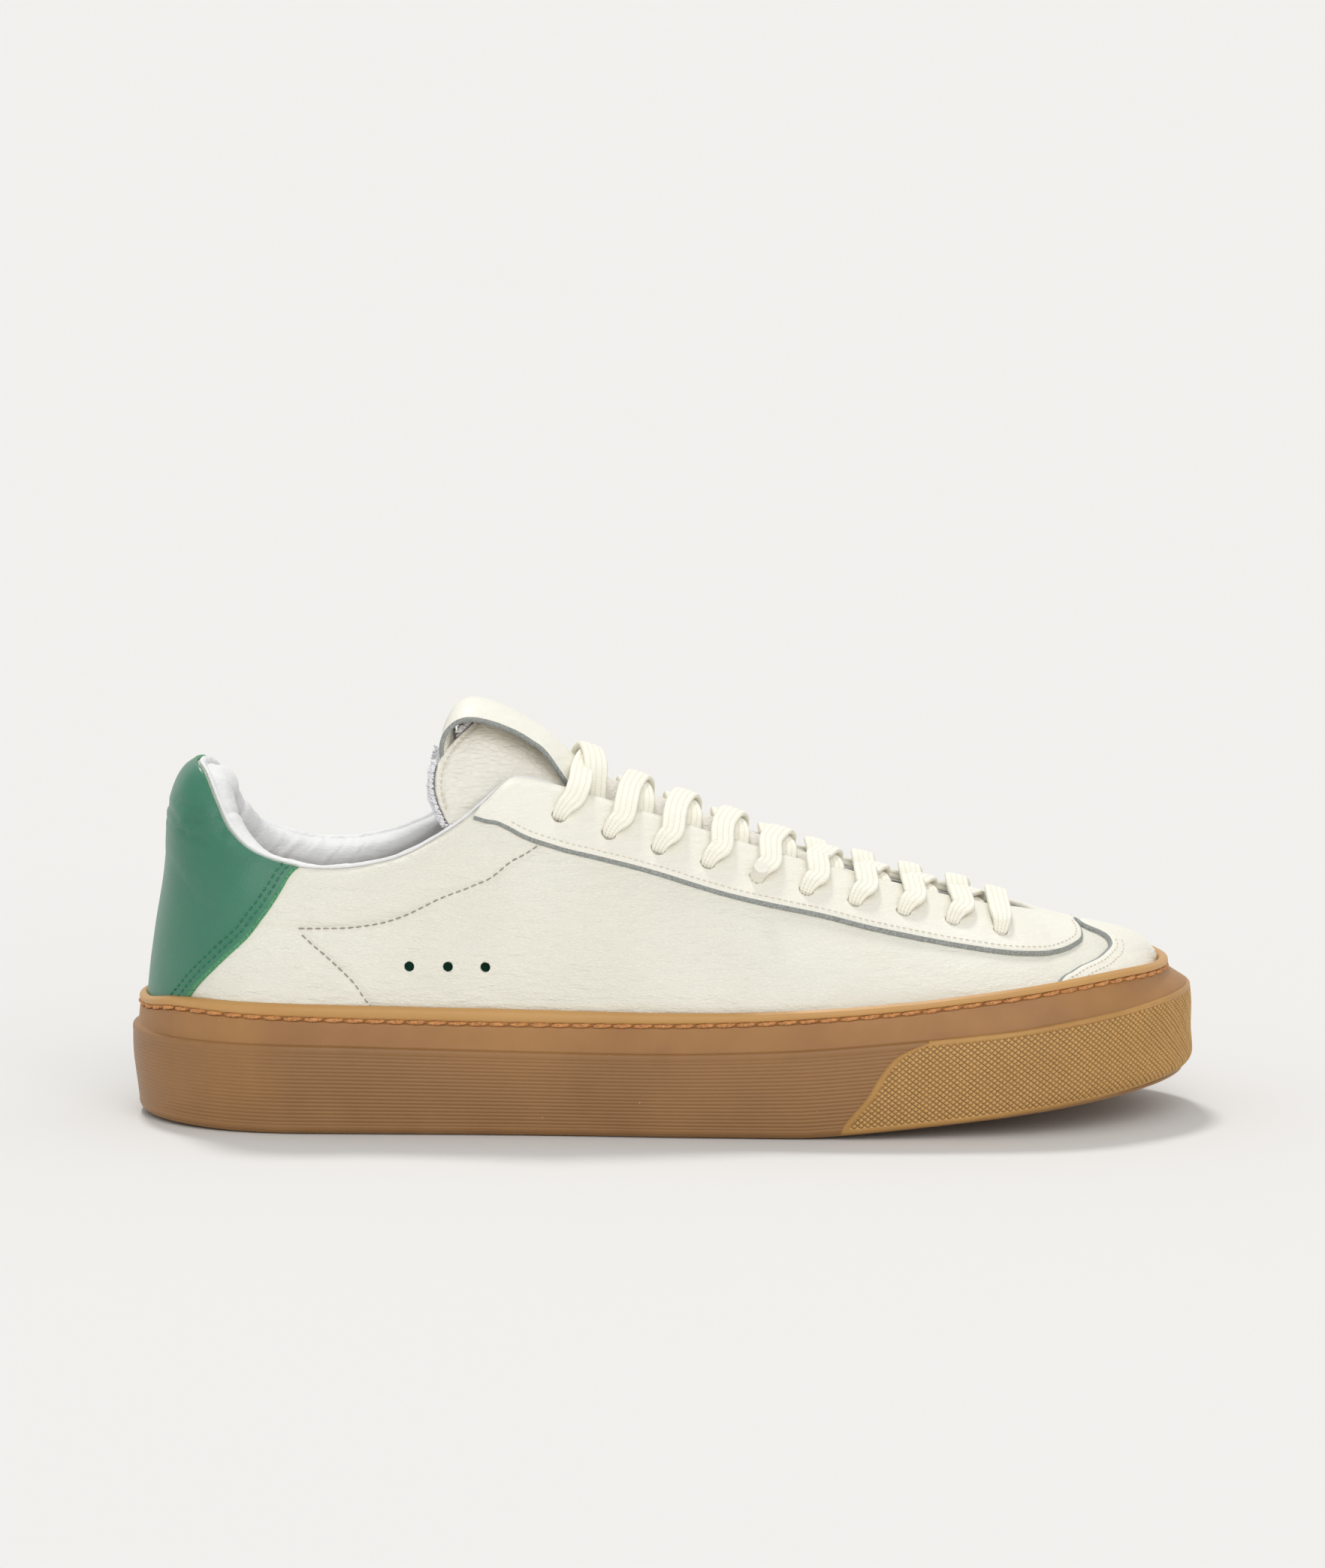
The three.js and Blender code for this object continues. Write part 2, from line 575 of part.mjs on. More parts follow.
function throughEyelet(k, side) {
  const stops = [
    [4.4, LACE_OVER, 0.4], [1.7, LACE_OVER, 0.9], [0.25, 1.3, 1], [0, -0.3, 1], [0.25, -1.8, 1],
    [1.5, LACE_UNDER, 0.8], [4.6, LACE_UNDER, 0.2],
  ];
  return stops.map(([up, off, neck]) => ({ at: besideEyelet(k, side, up, off), neck }));
}

// From under eyelet k + 1 on one side, over the tongue, to above eyelet k on the other.
function crossing(k, side, lift) {
  const start = eyeletX(k + 1) - eyeletPitch * 0.17;
  const end = eyeletX(k) + eyeletPitch * 0.27;
  const half = topHalf((start + end) / 2);
  const overTongue = (share) => {
    const x = mix(start, end, (1 - share) / 2);
    const y = side * share * half;
    const z = tongueCrown(x) - tongueArch(x) * y * y + 1.9 + lift;
    return { at: new THREE.Vector3(x, topAxis(x) + y, z), neck: 0 };
  };
  return [
    { at: wall(angleAt(start), side, 1, LACE_UNDER), neck: 0 },
    overTongue(0.5), overTongue(0), overTongue(-0.5),
    { at: wall(angleAt(end), -side, 1, LACE_OVER), neck: 0 },
  ];
}

function laceHalf(startSide) {
  const stops = throughEyelet(EYELETS - 1, startSide);
  let side = startSide;
  for (let k = EYELETS - 2; k >= 0; k -= 1) {
    const onTop = (side === MEDIAL) === (k > 0);
    stops.push(...crossing(k, side, (onTop ? 2 : 0) + (k === 0 ? 2.7 : 0)));
    side = -side;
    stops.push(...throughEyelet(k, side));
  }
  stops.pop();
  const tail = [[0.74, -3.7], [0.64, -4.2], [0.55, -5.2], [0.47, -6.6]];
  tail.forEach(([v, off], i) => {
    stops.push({ at: wall(angleAt(FIRST_EYELET + 1.2 * i), side, v, off), neck: 0 });
  });
  return { stops, side };
}

function makeLace() {
  const [one, other] = [LATERAL, MEDIAL].map(laceHalf);
  const x = eyeletX(EYELETS - 1);
  const bar = { at: new THREE.Vector3(x, topAxis(x), topHeight(x) + LACE_OVER + 0.6), neck: 0 };
  const stops = [...one.stops].reverse().concat(bar, other.stops);
  const curve = new THREE.CatmullRomCurve3(stops.map((stop) => stop.at), false, 'centripetal');
  const rings = [];
  stops.slice(0, -1).forEach((stop, i) => {
    const steps = stop.at.distanceTo(stops[i + 1].at) > 9 ? 2 : 1;
    for (let step = 0; step < steps; step += 1) rings.push([i + step / steps, i]);
  });
  rings.push([stops.length - 1, stops.length - 2]);
  const sections = rings.map(([place, i]) => {
    const u = place / (stops.length - 1);
    const centre = curve.getPoint(u);
    const run = curve.getTangent(u);
    const slope = (topHeight(centre.x + 4) - topHeight(centre.x - 4)) / 8;
    const aside = new THREE.Vector3(1, 0, clamp(slope, -0.45, 0)).normalize();
    aside.addScaledVector(run, -aside.dot(run)).normalize();
    const up = new THREE.Vector3().crossVectors(run, aside);
    const neck = mix(stops[i].neck, stops[i + 1].neck, place - i);
    const half = mix(LACE_WIDTH, LACE_NECK, neck) / 2;
    return [[1, 1], [-1, 1], [-1, -1], [1, -1]].map(([a, b]) => (
      centre.clone().addScaledVector(aside, a * half).addScaledVector(up, b * LACE_THICKNESS / 2)
    ));
  });
  return { sections, ends: [one, other].map(({ stops: list, side }) => ({ side, list })) };
}

function makeTube(sections) {
  const faces = [];
  sections.slice(0, -1).forEach((near, i) => {
    const far = sections[i + 1];
    near.forEach((point, j) => {
      const next = (j + 1) % near.length;
      faces.push(...quad(point, near[next], far[next], far[j]));
    });
  });
  const first = sections[0];
  const last = sections[sections.length - 1];
  faces.push(...quad(first[3], first[2], first[1], first[0]), ...quad(last[0], last[1], last[2], last[3]));
  return closedBody(faces);
}

const AGLET_LENGTH = 16;
const AGLET_RADIUS = 1.5;
function makeAglet(from, tip) {
  const run = tip.clone().sub(from).normalize();
  const geometry = new THREE.CylinderGeometry(AGLET_RADIUS, AGLET_RADIUS, AGLET_LENGTH, 10);
  geometry.applyQuaternion(new THREE.Quaternion().setFromUnitVectors(new THREE.Vector3(0, 1, 0), run));
  const centre = tip.clone().addScaledVector(run, AGLET_LENGTH / 2 + GAP);
  return geometry.translate(centre.x, centre.y, centre.z);
}

// The materials, and the whole shoe.
const finish = (color, roughness) => new THREE.MeshStandardMaterial({ color, roughness, metalness: 0 });
const gum = finish(0xb07c46, 0.6);
const stitchThread = finish(0xb8793f, 0.7);
const ivory = finish(0xe9e5d8, 0.55);
const white = finish(0xf0efec, 0.6);
const green = finish(0x4f8f73, 0.5);
const darkGreen = finish(0x1f4a36, 0.7);
const terry = finish(0xf2f1ee, 0.95);
const cotton = finish(0xefeadc, 0.9);
const foam = finish(0xd9d4c4, 0.95);
const board = finish(0xcfc8b4, 0.9);
const plastic = finish(0xf0ece0, 0.4);

const shoe = new THREE.Group();
function add(name, geometry, material) {
  const mesh = new THREE.Mesh(geometry, material);
  mesh.name = name;
  shoe.add(mesh);
}

add('cupsole', makeCupsole(), gum);
add('sidewall_thread', makeSidewallThread(), stitchThread);
add('midsole_filler', makeFiller(), foam);
add('strobel_board', makeStrobelBoard(), board);
add('footbed_foam', makeFootbedFoam(), foam);
add('footbed_cover', makeFootbedCover(), terry);
add('quarter_lateral', makeQuarter(LATERAL), ivory);
add('quarter_medial', makeQuarter(MEDIAL), ivory);
add('eyestay', makeEyestay(), ivory);
add('heel_tab', makeHeelTab(), green);
add('toe_cap', makeToeCap(), ivory);
add('heel_stiffener', makeHeelStiffener(), board);
add('toe_puff', makeToePuff(), board);
add('collar_foam', makeCollarFoam(), foam);
add('collar_lining', makeCollarLining(), white);
add('quarter_lining_lateral', makeQuarterLining(LATERAL), white);
add('quarter_lining_medial', makeQuarterLining(MEDIAL), white);
add('vamp_lining', makeVampLining(), white);
add('vent_backing_lateral', makeVentBacking(LATERAL), darkGreen);
add('vent_backing_medial', makeVentBacking(MEDIAL), darkGreen);
add('tongue_shell', makeTongueShell(), ivory);
add('tongue_foam', makeTongueFoam(), foam);
add('tongue_lining', makeTongueLining(), terry);
add('tongue_loop', makeTongueLoop(), ivory);
const lace = makeLace();
add('lace', makeTube(lace.sections), cotton);
lace.ends.forEach(({ side, list }) => {
  const [from, tip] = list.slice(-2).map((stop) => stop.at);
  add(side === LATERAL ? 'aglet_lateral' : 'aglet_medial', makeAglet(from, tip), plastic);
});

// The shoe's frame has its origin under the middle of its bounding box.
const bounds = new THREE.Box3().setFromObject(shoe);
const middle = bounds.getCenter(new THREE.Vector3());
shoe.position.set(-middle.x, -middle.y, -bounds.min.z);
shoe.updateMatrixWorld(true);

export default shoe;
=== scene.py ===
"""A court shoe for the right foot: its visible surfaces, in millimetres until a mesh is made.

+X runs from heel to toe, +Y is the inner (medial) side and +Z is up. The shoe is drawn on
stations, cross-sections that start on the sole's edge. A station's place is a length along the
sole, and an angle from 0 at the heel to pi at the toe stands for it wherever the stations have
to crowd together at both ends. v runs up the upper's wall, from 0 at its foot to 1 at its top.
"""
import math

import bmesh
import bpy
import numpy as np
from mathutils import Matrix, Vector


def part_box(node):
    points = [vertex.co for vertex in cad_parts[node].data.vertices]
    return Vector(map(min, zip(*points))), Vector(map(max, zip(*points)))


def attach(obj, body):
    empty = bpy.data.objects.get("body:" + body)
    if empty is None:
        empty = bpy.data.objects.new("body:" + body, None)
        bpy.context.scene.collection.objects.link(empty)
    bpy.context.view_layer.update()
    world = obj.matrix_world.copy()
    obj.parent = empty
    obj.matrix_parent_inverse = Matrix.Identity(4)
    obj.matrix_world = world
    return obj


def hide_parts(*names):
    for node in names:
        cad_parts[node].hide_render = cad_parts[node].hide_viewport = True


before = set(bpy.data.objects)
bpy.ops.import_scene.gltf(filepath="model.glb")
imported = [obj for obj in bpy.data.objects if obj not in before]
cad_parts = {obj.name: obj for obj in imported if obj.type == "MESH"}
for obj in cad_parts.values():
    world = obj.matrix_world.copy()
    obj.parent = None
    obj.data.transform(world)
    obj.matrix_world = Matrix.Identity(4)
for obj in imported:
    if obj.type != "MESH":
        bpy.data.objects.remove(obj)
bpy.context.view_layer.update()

LATERAL, MEDIAL = -1, 1
SIDES = (LATERAL, MEDIAL)
LENGTH = 300.0
RIM_WALL = 2.4
FOOT_GAP = 2.2
THROAT_END = 255.5
COLLAR_END = 106.0
EYELETS = 10
FIRST_EYELET = 121.0
LAST_EYELET = 249.0
EYELET_PITCH = (LAST_EYELET - FIRST_EYELET) / (EYELETS - 1)
SEED = 7


# ---------------------------------------------------------------- curves and the shoe's shape

def through(*points):
    """A smooth curve through a few [x, y] points, level beyond its two ends."""
    xs, ys = np.array(points, float).T
    slopes = np.gradient(ys)
    slopes[1:-1] = (ys[2:] - ys[:-2]) / (xs[2:] - xs[:-2])
    slopes[0] = (ys[1] - ys[0]) / (xs[1] - xs[0])
    slopes[-1] = (ys[-1] - ys[-2]) / (xs[-1] - xs[-2])

    def curve(x):
        x = np.clip(np.asarray(x, float), xs[0], xs[-1])
        i = np.clip(np.searchsorted(xs, x, side="right") - 1, 0, len(xs) - 2)
        span = xs[i + 1] - xs[i]
        t = (x - xs[i]) / span
        value = (2 * t**3 - 3 * t**2 + 1) * ys[i] + (t**3 - 2 * t**2 + t) * span * slopes[i]
        return value + (3 * t**2 - 2 * t**3) * ys[i + 1] + (t**3 - t**2) * span * slopes[i + 1]

    return curve


def mix(low, high, share):
    return low + (high - low) * share


def smooth(low, high, x):
    t = np.clip((x - low) / (high - low), 0, 1)
    return t * t * (3 - 2 * t)


def bump(x, width):
    return np.exp(-((x / width) ** 2))


def unit(vectors):
    return vectors / np.maximum(np.linalg.norm(vectors, axis=-1, keepdims=True), 1e-12)


def catmull(points, count):
    """Points at even steps of a smooth curve through points, along the first axis."""
    points = np.asarray(points, float)
    last = len(points) - 1
    place = np.linspace(0, last, count)
    i = np.minimum(place.astype(int), last - 1)
    t = (place - i).reshape((-1,) + (1,) * (points.ndim - 1))
    before, start = points[np.maximum(i - 1, 0)], points[i]
    end, after = points[i + 1], points[np.minimum(i + 2, last)]
    slope_in, slope_out = (end - before) / 2, (after - start) / 2
    value = (2 * t**3 - 3 * t**2 + 1) * start + (t**3 - 2 * t**2 + t) * slope_in
    return value + (3 * t**2 - 2 * t**3) * end + (t**3 - t**2) * slope_out


def run_of(points):
    """The length along a polyline from its start to each of its points."""
    return np.concatenate([[0], np.cumsum(np.linalg.norm(np.diff(points, axis=0), axis=1))])


def read_at(places, run, values):
    """The rows of values, one for each length in run, read at other lengths."""
    return np.stack([np.interp(places, run, values[:, k]) for k in range(values.shape[1])], -1)


def even(points, step):
    """The polyline's points moved to even steps of its length."""
    run = run_of(points)
    count = max(2, int(run[-1] / step) + 1)
    return read_at(np.linspace(0, run[-1], count), run, points)


LATTICE = np.random.default_rng(SEED).random((32, 32, 32))


def noise(points, size, shift=0.0):
    """Smooth noise from 0 to 1, with lumps of that size (one number or three)."""
    at = np.asarray(points, float) / size + 100.3 + shift
    cell = np.floor(at).astype(int)
    t = at - cell
    t = t * t * (3 - 2 * t)
    value = 0
    for corner in range(8):
        step = [(corner >> k) & 1 for k in range(3)]
        weight = 1
        for k in range(3):
            weight = weight * (t[..., k] if step[k] else 1 - t[..., k])
        index = [(cell[..., k] + step[k]) % 32 for k in range(3)]
        value = value + weight * LATTICE[index[0], index[1], index[2]]
    return value


def ripple(points, size, shift=0.0):
    """The same noise about nought, from -0.5 to 0.5."""
    return noise(points, size, shift) - 0.5


def folds(points, size, shift=0.0):
    """Narrow valleys between broad swells, from 0 in a valley to 1."""
    return np.abs(2 * noise(points, size, shift) - 1) ** 0.7


sole_axis = through([0, 0], [150, -1], [230, 2.5], [300, 6])
sole_half = {
    LATERAL: through([0, 41], [60, 42], [110, 43.5], [160, 48], [205, 52], [245, 51], [300, 46]),
    MEDIAL: through([0, 41], [60, 40.5], [110, 39.5], [150, 43], [200, 51], [245, 52], [300, 47]),
}
step_height = through(
    [0, 25.5], [50, 25.2], [110, 24], [150, 23.8], [185, 25], [215, 27.3], [247, 30],
    [265, 32.2], [300, 36],
)
rim_height = through(
    [0, 37], [40, 36.6], [110, 35.4], [150, 35], [180, 35.6], [215, 37.9], [245, 41], [265, 43],
    [282, 44], [300, 43.4],
)
rim_inset = through([0, 2.3], [40, 2.2], [200, 2.2], [255, 3.4], [300, 6.9])
board_height = through([0, 28], [60, 27.2], [150, 25], [215, 24.5], [250, 27.5], [300, 34])
top_height = through(
    [18.8, 99.8], [21.6, 98], [25, 91], [29, 83.3], [37, 77], [54, 73.2], [75, 76], [90, 83.5],
    [100, 90.8], [106, 96.3], [109, 97.4], [120, 94.8], [150, 85.2], [184, 74], [214, 65.8],
    [242, 58.6], [262, 53.5], [279, 50], [285, 47.4], [289, 43],
)
top_half = through(
    [18, 24], [30, 27], [44, 29.5], [75, 30.5], [90, 28.8], [100, 25.5], [109, 20.5], [120, 17.5],
    [150, 15], [184, 13], [214, 11.2], [236, 9.6], [246, 7], [252, 3.5], [THROAT_END, 0],
)
top_slope = through(
    [18, 80], [90, 72], [108, 58], [125, 48], [150, 42], [200, 30], [240, 16], [256, 0],
)
foot_bulge = through([0, 0.1], [30, 0.15], [80, 0.1], [200, 0.1], [250, 0.05], [300, 0.02])
collar_pad = through([0, 9], [25, 8.5], [60, 7.5], [80, 5], [96, 1.2], [COLLAR_END, 0.8])
pad_foot = through([0, 0.5], [60, 0.62], [COLLAR_END, 0.7])
lining_depth = through([60, 3.1], [104, 2.3], [114, 1.5], [252, 1.5], [262, 2.8])
tongue_crown = through(
    [84, 115.4], [97, 111], [109, 105.4], [130, 96.6], [150, 88.9], [181, 76.8], [207, 66.4],
    [232, 59.6], [250, 53], [256, 50.6],
)
tongue_arch = through(
    [86, 0.05], [109, 0.048], [130, 0.046], [181, 0.044], [207, 0.036], [256, 0.03],
)
tongue_half = through(
    [86, 21], [97, 21], [109, 21.5], [130, 24], [181, 28], [207, 28], [232, 25], [256, 20],
)
tongue_pad = through([86, 1.5], [104, 3.4], [140, 3.4], [165, 1.6], [250, 1.2])
eyelet_row = through([119, 0.872], [134, 0.842], [207, 0.784], [236, 0.757], [252, 0.715])


def top_axis(x):
    return 0.8 * sole_axis(x)


def bottom_height(x):
    heel = 1.5 * np.clip(1 - x / 45, 0, 1) ** 2
    return heel + 11.8 * np.clip((x - 188) / (LENGTH - 188), 0, 1) ** 1.2


def heel_lean(x):
    """How far forward of its foot the wall's top stands."""
    return 12.1 * np.clip(1 - (x - 6.7) / 88, 0, 1) ** 1.6


def angle_at(x):
    return np.arccos(1 - 2 * np.clip(x, 0, LENGTH) / LENGTH)


def station(angle):
    return LENGTH / 2 * (1 - np.cos(angle))


def closing(angle, heel, toe):
    """1 along the middle, falling to 0 over one angle at the heel and another at the toe."""
    rear = np.sin(np.pi / 2 * np.minimum(1, angle / heel))
    return rear * np.sin(np.pi / 2 * np.minimum(1, (np.pi - angle) / toe))


def edge_point(angle, side):
    """The x and y of the sole's outline."""
    x = station(angle)
    half = np.where(side < 0, sole_half[LATERAL](x), sole_half[MEDIAL](x))
    return x, sole_axis(x) + side * half * closing(angle, 0.85, 0.92)


def edge_run(angles, side):
    """The length along the sole's edge from the first angle to each."""
    x, y = edge_point(angles, side)
    return np.concatenate([[0], np.cumsum(np.hypot(np.diff(x), np.diff(y)))])


def sole_point(angle, side, inset, z):
    """A point set in from the sole's edge, square to it, at height z."""
    angle = np.asarray(angle, float)
    step = 1e-3
    x, y = edge_point(angle, side)
    x1, y1 = edge_point(np.minimum(np.pi, angle + step), side)
    x0, y0 = edge_point(np.maximum(0, angle - step), side)
    run = np.hypot(x1 - x0, y1 - y0)
    ux, uy = (x1 - x0) / run, (y1 - y0) / run
    at_end = (angle < step) | (angle > np.pi - step)
    px = x + np.where(at_end, inset * np.where(angle < 1, 1, -1), inset * side * uy)
    py = y - np.where(at_end, 0, inset * side * ux)
    return np.stack([px, py, z + 0 * px], -1)


HEEL_FOOT = float(rim_inset(0)) + RIM_WALL + FOOT_GAP
TOE_FOOT = LENGTH - float(rim_inset(LENGTH)) - RIM_WALL - FOOT_GAP


def top_x(angle):
    """The X of the wall's top at a station."""
    x = mix(HEEL_FOOT, TOE_FOOT, station(angle) / LENGTH)
    return x + heel_lean(x)


def bare_wall(angle, side, v):
    """The upper's wall: a curve with four control points from its foot to the top line."""
    x_sole = station(angle)
    inset = rim_inset(x_sole) + RIM_WALL + FOOT_GAP
    foot = sole_point(angle, side, inset, board_height(x_sole) + 1)
    foot_x, foot_y, foot_z = foot[..., 0], foot[..., 1], foot[..., 2]
    x = top_x(angle)
    half = top_half(x) * np.sin(np.pi / 2 * np.minimum(1, angle / 0.62))
    top_y, top_z = top_axis(x) + side * half, top_height(x)
    rise = top_z - foot_z
    slope = np.radians(top_slope(x))
    reach = 0.36 * np.hypot(top_y - foot_y, rise)
    bulge = foot_bulge(foot_x) * rise * 0.9 * closing(angle, 0.85, 0.9)
    outward = np.cos(slope) * reach * closing(angle, 0.5, 0.9)
    weights = ((1 - v) ** 3, 3 * v * (1 - v) ** 2, 3 * v * v * (1 - v), v**3)
    ys = (foot_y, foot_y + side * bulge, top_y + side * outward, top_y)
    zs = (foot_z, foot_z + rise * 0.36, top_z - np.sin(slope) * reach, top_z)
    y = sum(w * p for w, p in zip(weights, ys))
    z = sum(w * p for w, p in zip(weights, zs))
    share = (z - foot_z) / rise
    return np.stack([mix(foot_x, x, 0.55 * share + 0.45 * share**16), y, z], -1)


def wall_normal(angle, side, v):
    """The way out of the wall. At both ends and along the toe's ridge it has no Y."""
    along = bare_wall(np.minimum(np.pi, angle + 0.02), side, v)
    along = along - bare_wall(np.maximum(0, angle - 0.02), side, v)
    up = bare_wall(angle, side, np.minimum(1, v + 0.01))
    up = up - bare_wall(angle, side, np.maximum(0, v - 0.01))
    normal = -np.asarray(side, float)[..., None] * np.cross(along, up)
    flat = np.stack([-along[..., 2], 0 * along[..., 0], along[..., 0]], -1)
    ridge = (v > 0.999) & (top_x(angle) > THROAT_END)
    normal = np.where(ridge[..., None], flat, normal)
    level = unit(np.stack([-up[..., 2], 0 * up[..., 0], up[..., 0]], -1))
    normal = np.where((angle < 1e-6)[..., None], level, normal)
    normal = np.where(((angle > np.pi - 1e-6) & ~ridge)[..., None], -level, normal)
    return unit(normal)


def wall(angle, side, v, off=0.0):
    """Points of the upper's wall, out from its surface by the distance off."""
    angle, v, side, off = np.broadcast_arrays(*(np.asarray(n, float) for n in (angle, v, side, off)))
    return bare_wall(angle, side, v) + wall_normal(angle, side, v) * off[..., None]


def spaced(start, end, step, side=LATERAL):
    """Angles from one station to another, at even steps of length along the sole's edge."""
    fine = np.linspace(float(angle_at(start)), float(angle_at(end)), 2000)
    run = edge_run(fine, side)
    return np.interp(np.linspace(0, run[-1], int(run[-1] / step) + 2), run, fine)


# ---------------------------------------------------------------- meshes

cup_low, cup_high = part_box("cupsole")
edge_angles = np.linspace(0, np.pi, 2000)
outline_middle = (edge_point(edge_angles, LATERAL)[1].min() + edge_point(edge_angles, MEDIAL)[1].max()) / 2
SHIFT = np.array([1000 * cup_low.x, 1000 * (cup_low.y + cup_high.y) / 2 - outline_middle, 0.0])


def metres(points):
    """Points in the frame's own metres, where the sole's box is centred across."""
    return (np.asarray(points, float) + SHIFT) / 1000


def added(name, data):
    """A new object in the scene."""
    obj = bpy.data.objects.new(name, data)
    bpy.context.collection.objects.link(obj)
    return obj


def make(name, points, quads, materials, index=None, uv=None, weld=False):
    """A smooth mesh of quads. index is each quad's material, and uv each point's place."""
    points = metres(points).reshape(-1, 3)
    quads = np.asarray(quads, int).reshape(-1, 4)
    mesh = bpy.data.meshes.new(name)
    mesh.vertices.add(len(points))
    mesh.vertices.foreach_set("co", points.ravel())
    mesh.loops.add(quads.size)
    mesh.loops.foreach_set("vertex_index", quads.ravel())
    mesh.polygons.add(len(quads))
    mesh.polygons.foreach_set("loop_start", np.arange(0, quads.size, 4))
    mesh.polygons.foreach_set("use_smooth", np.ones(len(quads), bool))
    for material in materials:
        mesh.materials.append(material)
    if index is not None:
        mesh.polygons.foreach_set("material_index", np.asarray(index, np.int32))
    if uv is not None:
        layer = mesh.uv_layers.new(name="Place")
        layer.data.foreach_set("uv", np.asarray(uv, float).reshape(-1, 2)[quads.ravel()].ravel())
    mesh.update(calc_edges=True)
    mesh.validate()
    obj = added(name, mesh)
    if weld:
        work = bmesh.new()
        work.from_mesh(mesh)
        bmesh.ops.remove_doubles(work, verts=work.verts, dist=2e-6)
        work.to_mesh(mesh)
        work.free()
    return obj


def grid_quads(n, m, start=0, wrap=False):
    """Quads over n columns by m rows of points, stored column by column."""
    i = np.arange(n if wrap else n - 1)[:, None]
    j = np.arange(m - 1)[None, :]
    a = start + i * m + j
    b = start + ((i + 1) % n) * m + j
    return np.stack([a, b, b + 1, a + 1], -1).reshape(-1, 4)


def ring_quads(n, m):
    """Quads round a tube of n rings with m points each."""
    i = np.arange(n - 1)[:, None]
    j = np.arange(m)[None, :]
    a, b = i * m + j, i * m + (j + 1) % m
    return np.stack([a, b, b + m, a + m], -1).reshape(-1, 4)


def slab(outer, inner, flip=False, open_top=None, open_head=False):
    """Points, quads and edge flags of a layer between two grids, closed round its border.

    open_top marks the columns whose last row meets the layer of the other side, and open_head
    says that the last column meets it. A quad's kind is 0 outside, 1 on the border and 2 inside.
    """
    n, m = outer.shape[:2]
    shift = n * m
    front = grid_quads(n, m)
    back = grid_quads(n, m, shift)[:, ::-1]
    i, j = np.arange(n - 1), np.arange(m - 1)
    foot = np.stack([i * m, i * m + shift, (i + 1) * m + shift, (i + 1) * m], -1)
    top = np.stack([i * m, (i + 1) * m, (i + 1) * m + shift, i * m + shift], -1) + m - 1
    if open_top is not None:
        top = top[~(open_top[:-1] & open_top[1:])]
    rear = np.stack([j, j + 1, j + 1 + shift, j + shift], -1)
    head = np.stack([j, j + shift, j + 1 + shift, j + 1], -1) + (n - 1) * m
    head = head[:0] if open_head else head
    quads = np.concatenate([front, back, foot, top, rear, head])
    kind = np.zeros(len(quads), int)
    kind[len(front):len(front) + len(back)] = 2
    kind[len(front) + len(back):] = 1
    if flip:
        quads = quads[:, ::-1]
    return np.concatenate([outer.reshape(-1, 3), inner.reshape(-1, 3)]), quads, kind


def joined(parts):
    """Several (points, quads, kind) as one."""
    points, quads, kinds, count = [], [], [], 0
    for p, q, k in parts:
        points.append(p)
        quads.append(q + count)
        kinds.append(k)
        count += len(p)
    return np.concatenate(points), np.concatenate(quads), np.concatenate(kinds)


def bundled(parts):
    """Several (points, quads) as one."""
    return joined([(points, quads, np.zeros(len(quads), int)) for points, quads in parts])[:2]


def tube(path, radius, spokes, up):
    """Points and quads of a tube round a path. radius may vary from point to point."""
    path = np.asarray(path, float)
    run = unit(np.gradient(path, axis=0))
    aside = unit(np.cross(run, np.asarray(up, float)))
    lift = np.cross(aside, run)
    turn = np.linspace(0, 2 * np.pi, spokes, endpoint=False)
    radius = np.broadcast_to(radius, len(path))[:, None, None]
    ring = np.cos(turn)[None, :, None] * aside[:, None] * radius
    ring = ring + np.sin(turn)[None, :, None] * lift[:, None] * radius
    points = path[:, None] + ring
    return points.reshape(-1, 3), ring_quads(len(path), spokes)


# ---------------------------------------------------------------- materials

def linear(red, green, blue):
    """A screen colour, 0 to 255, as the linear numbers that Blender takes."""
    return tuple(((c / 255 + 0.055) / 1.055) ** 2.4 if c > 10 else c / 3295 for c in (red, green, blue))


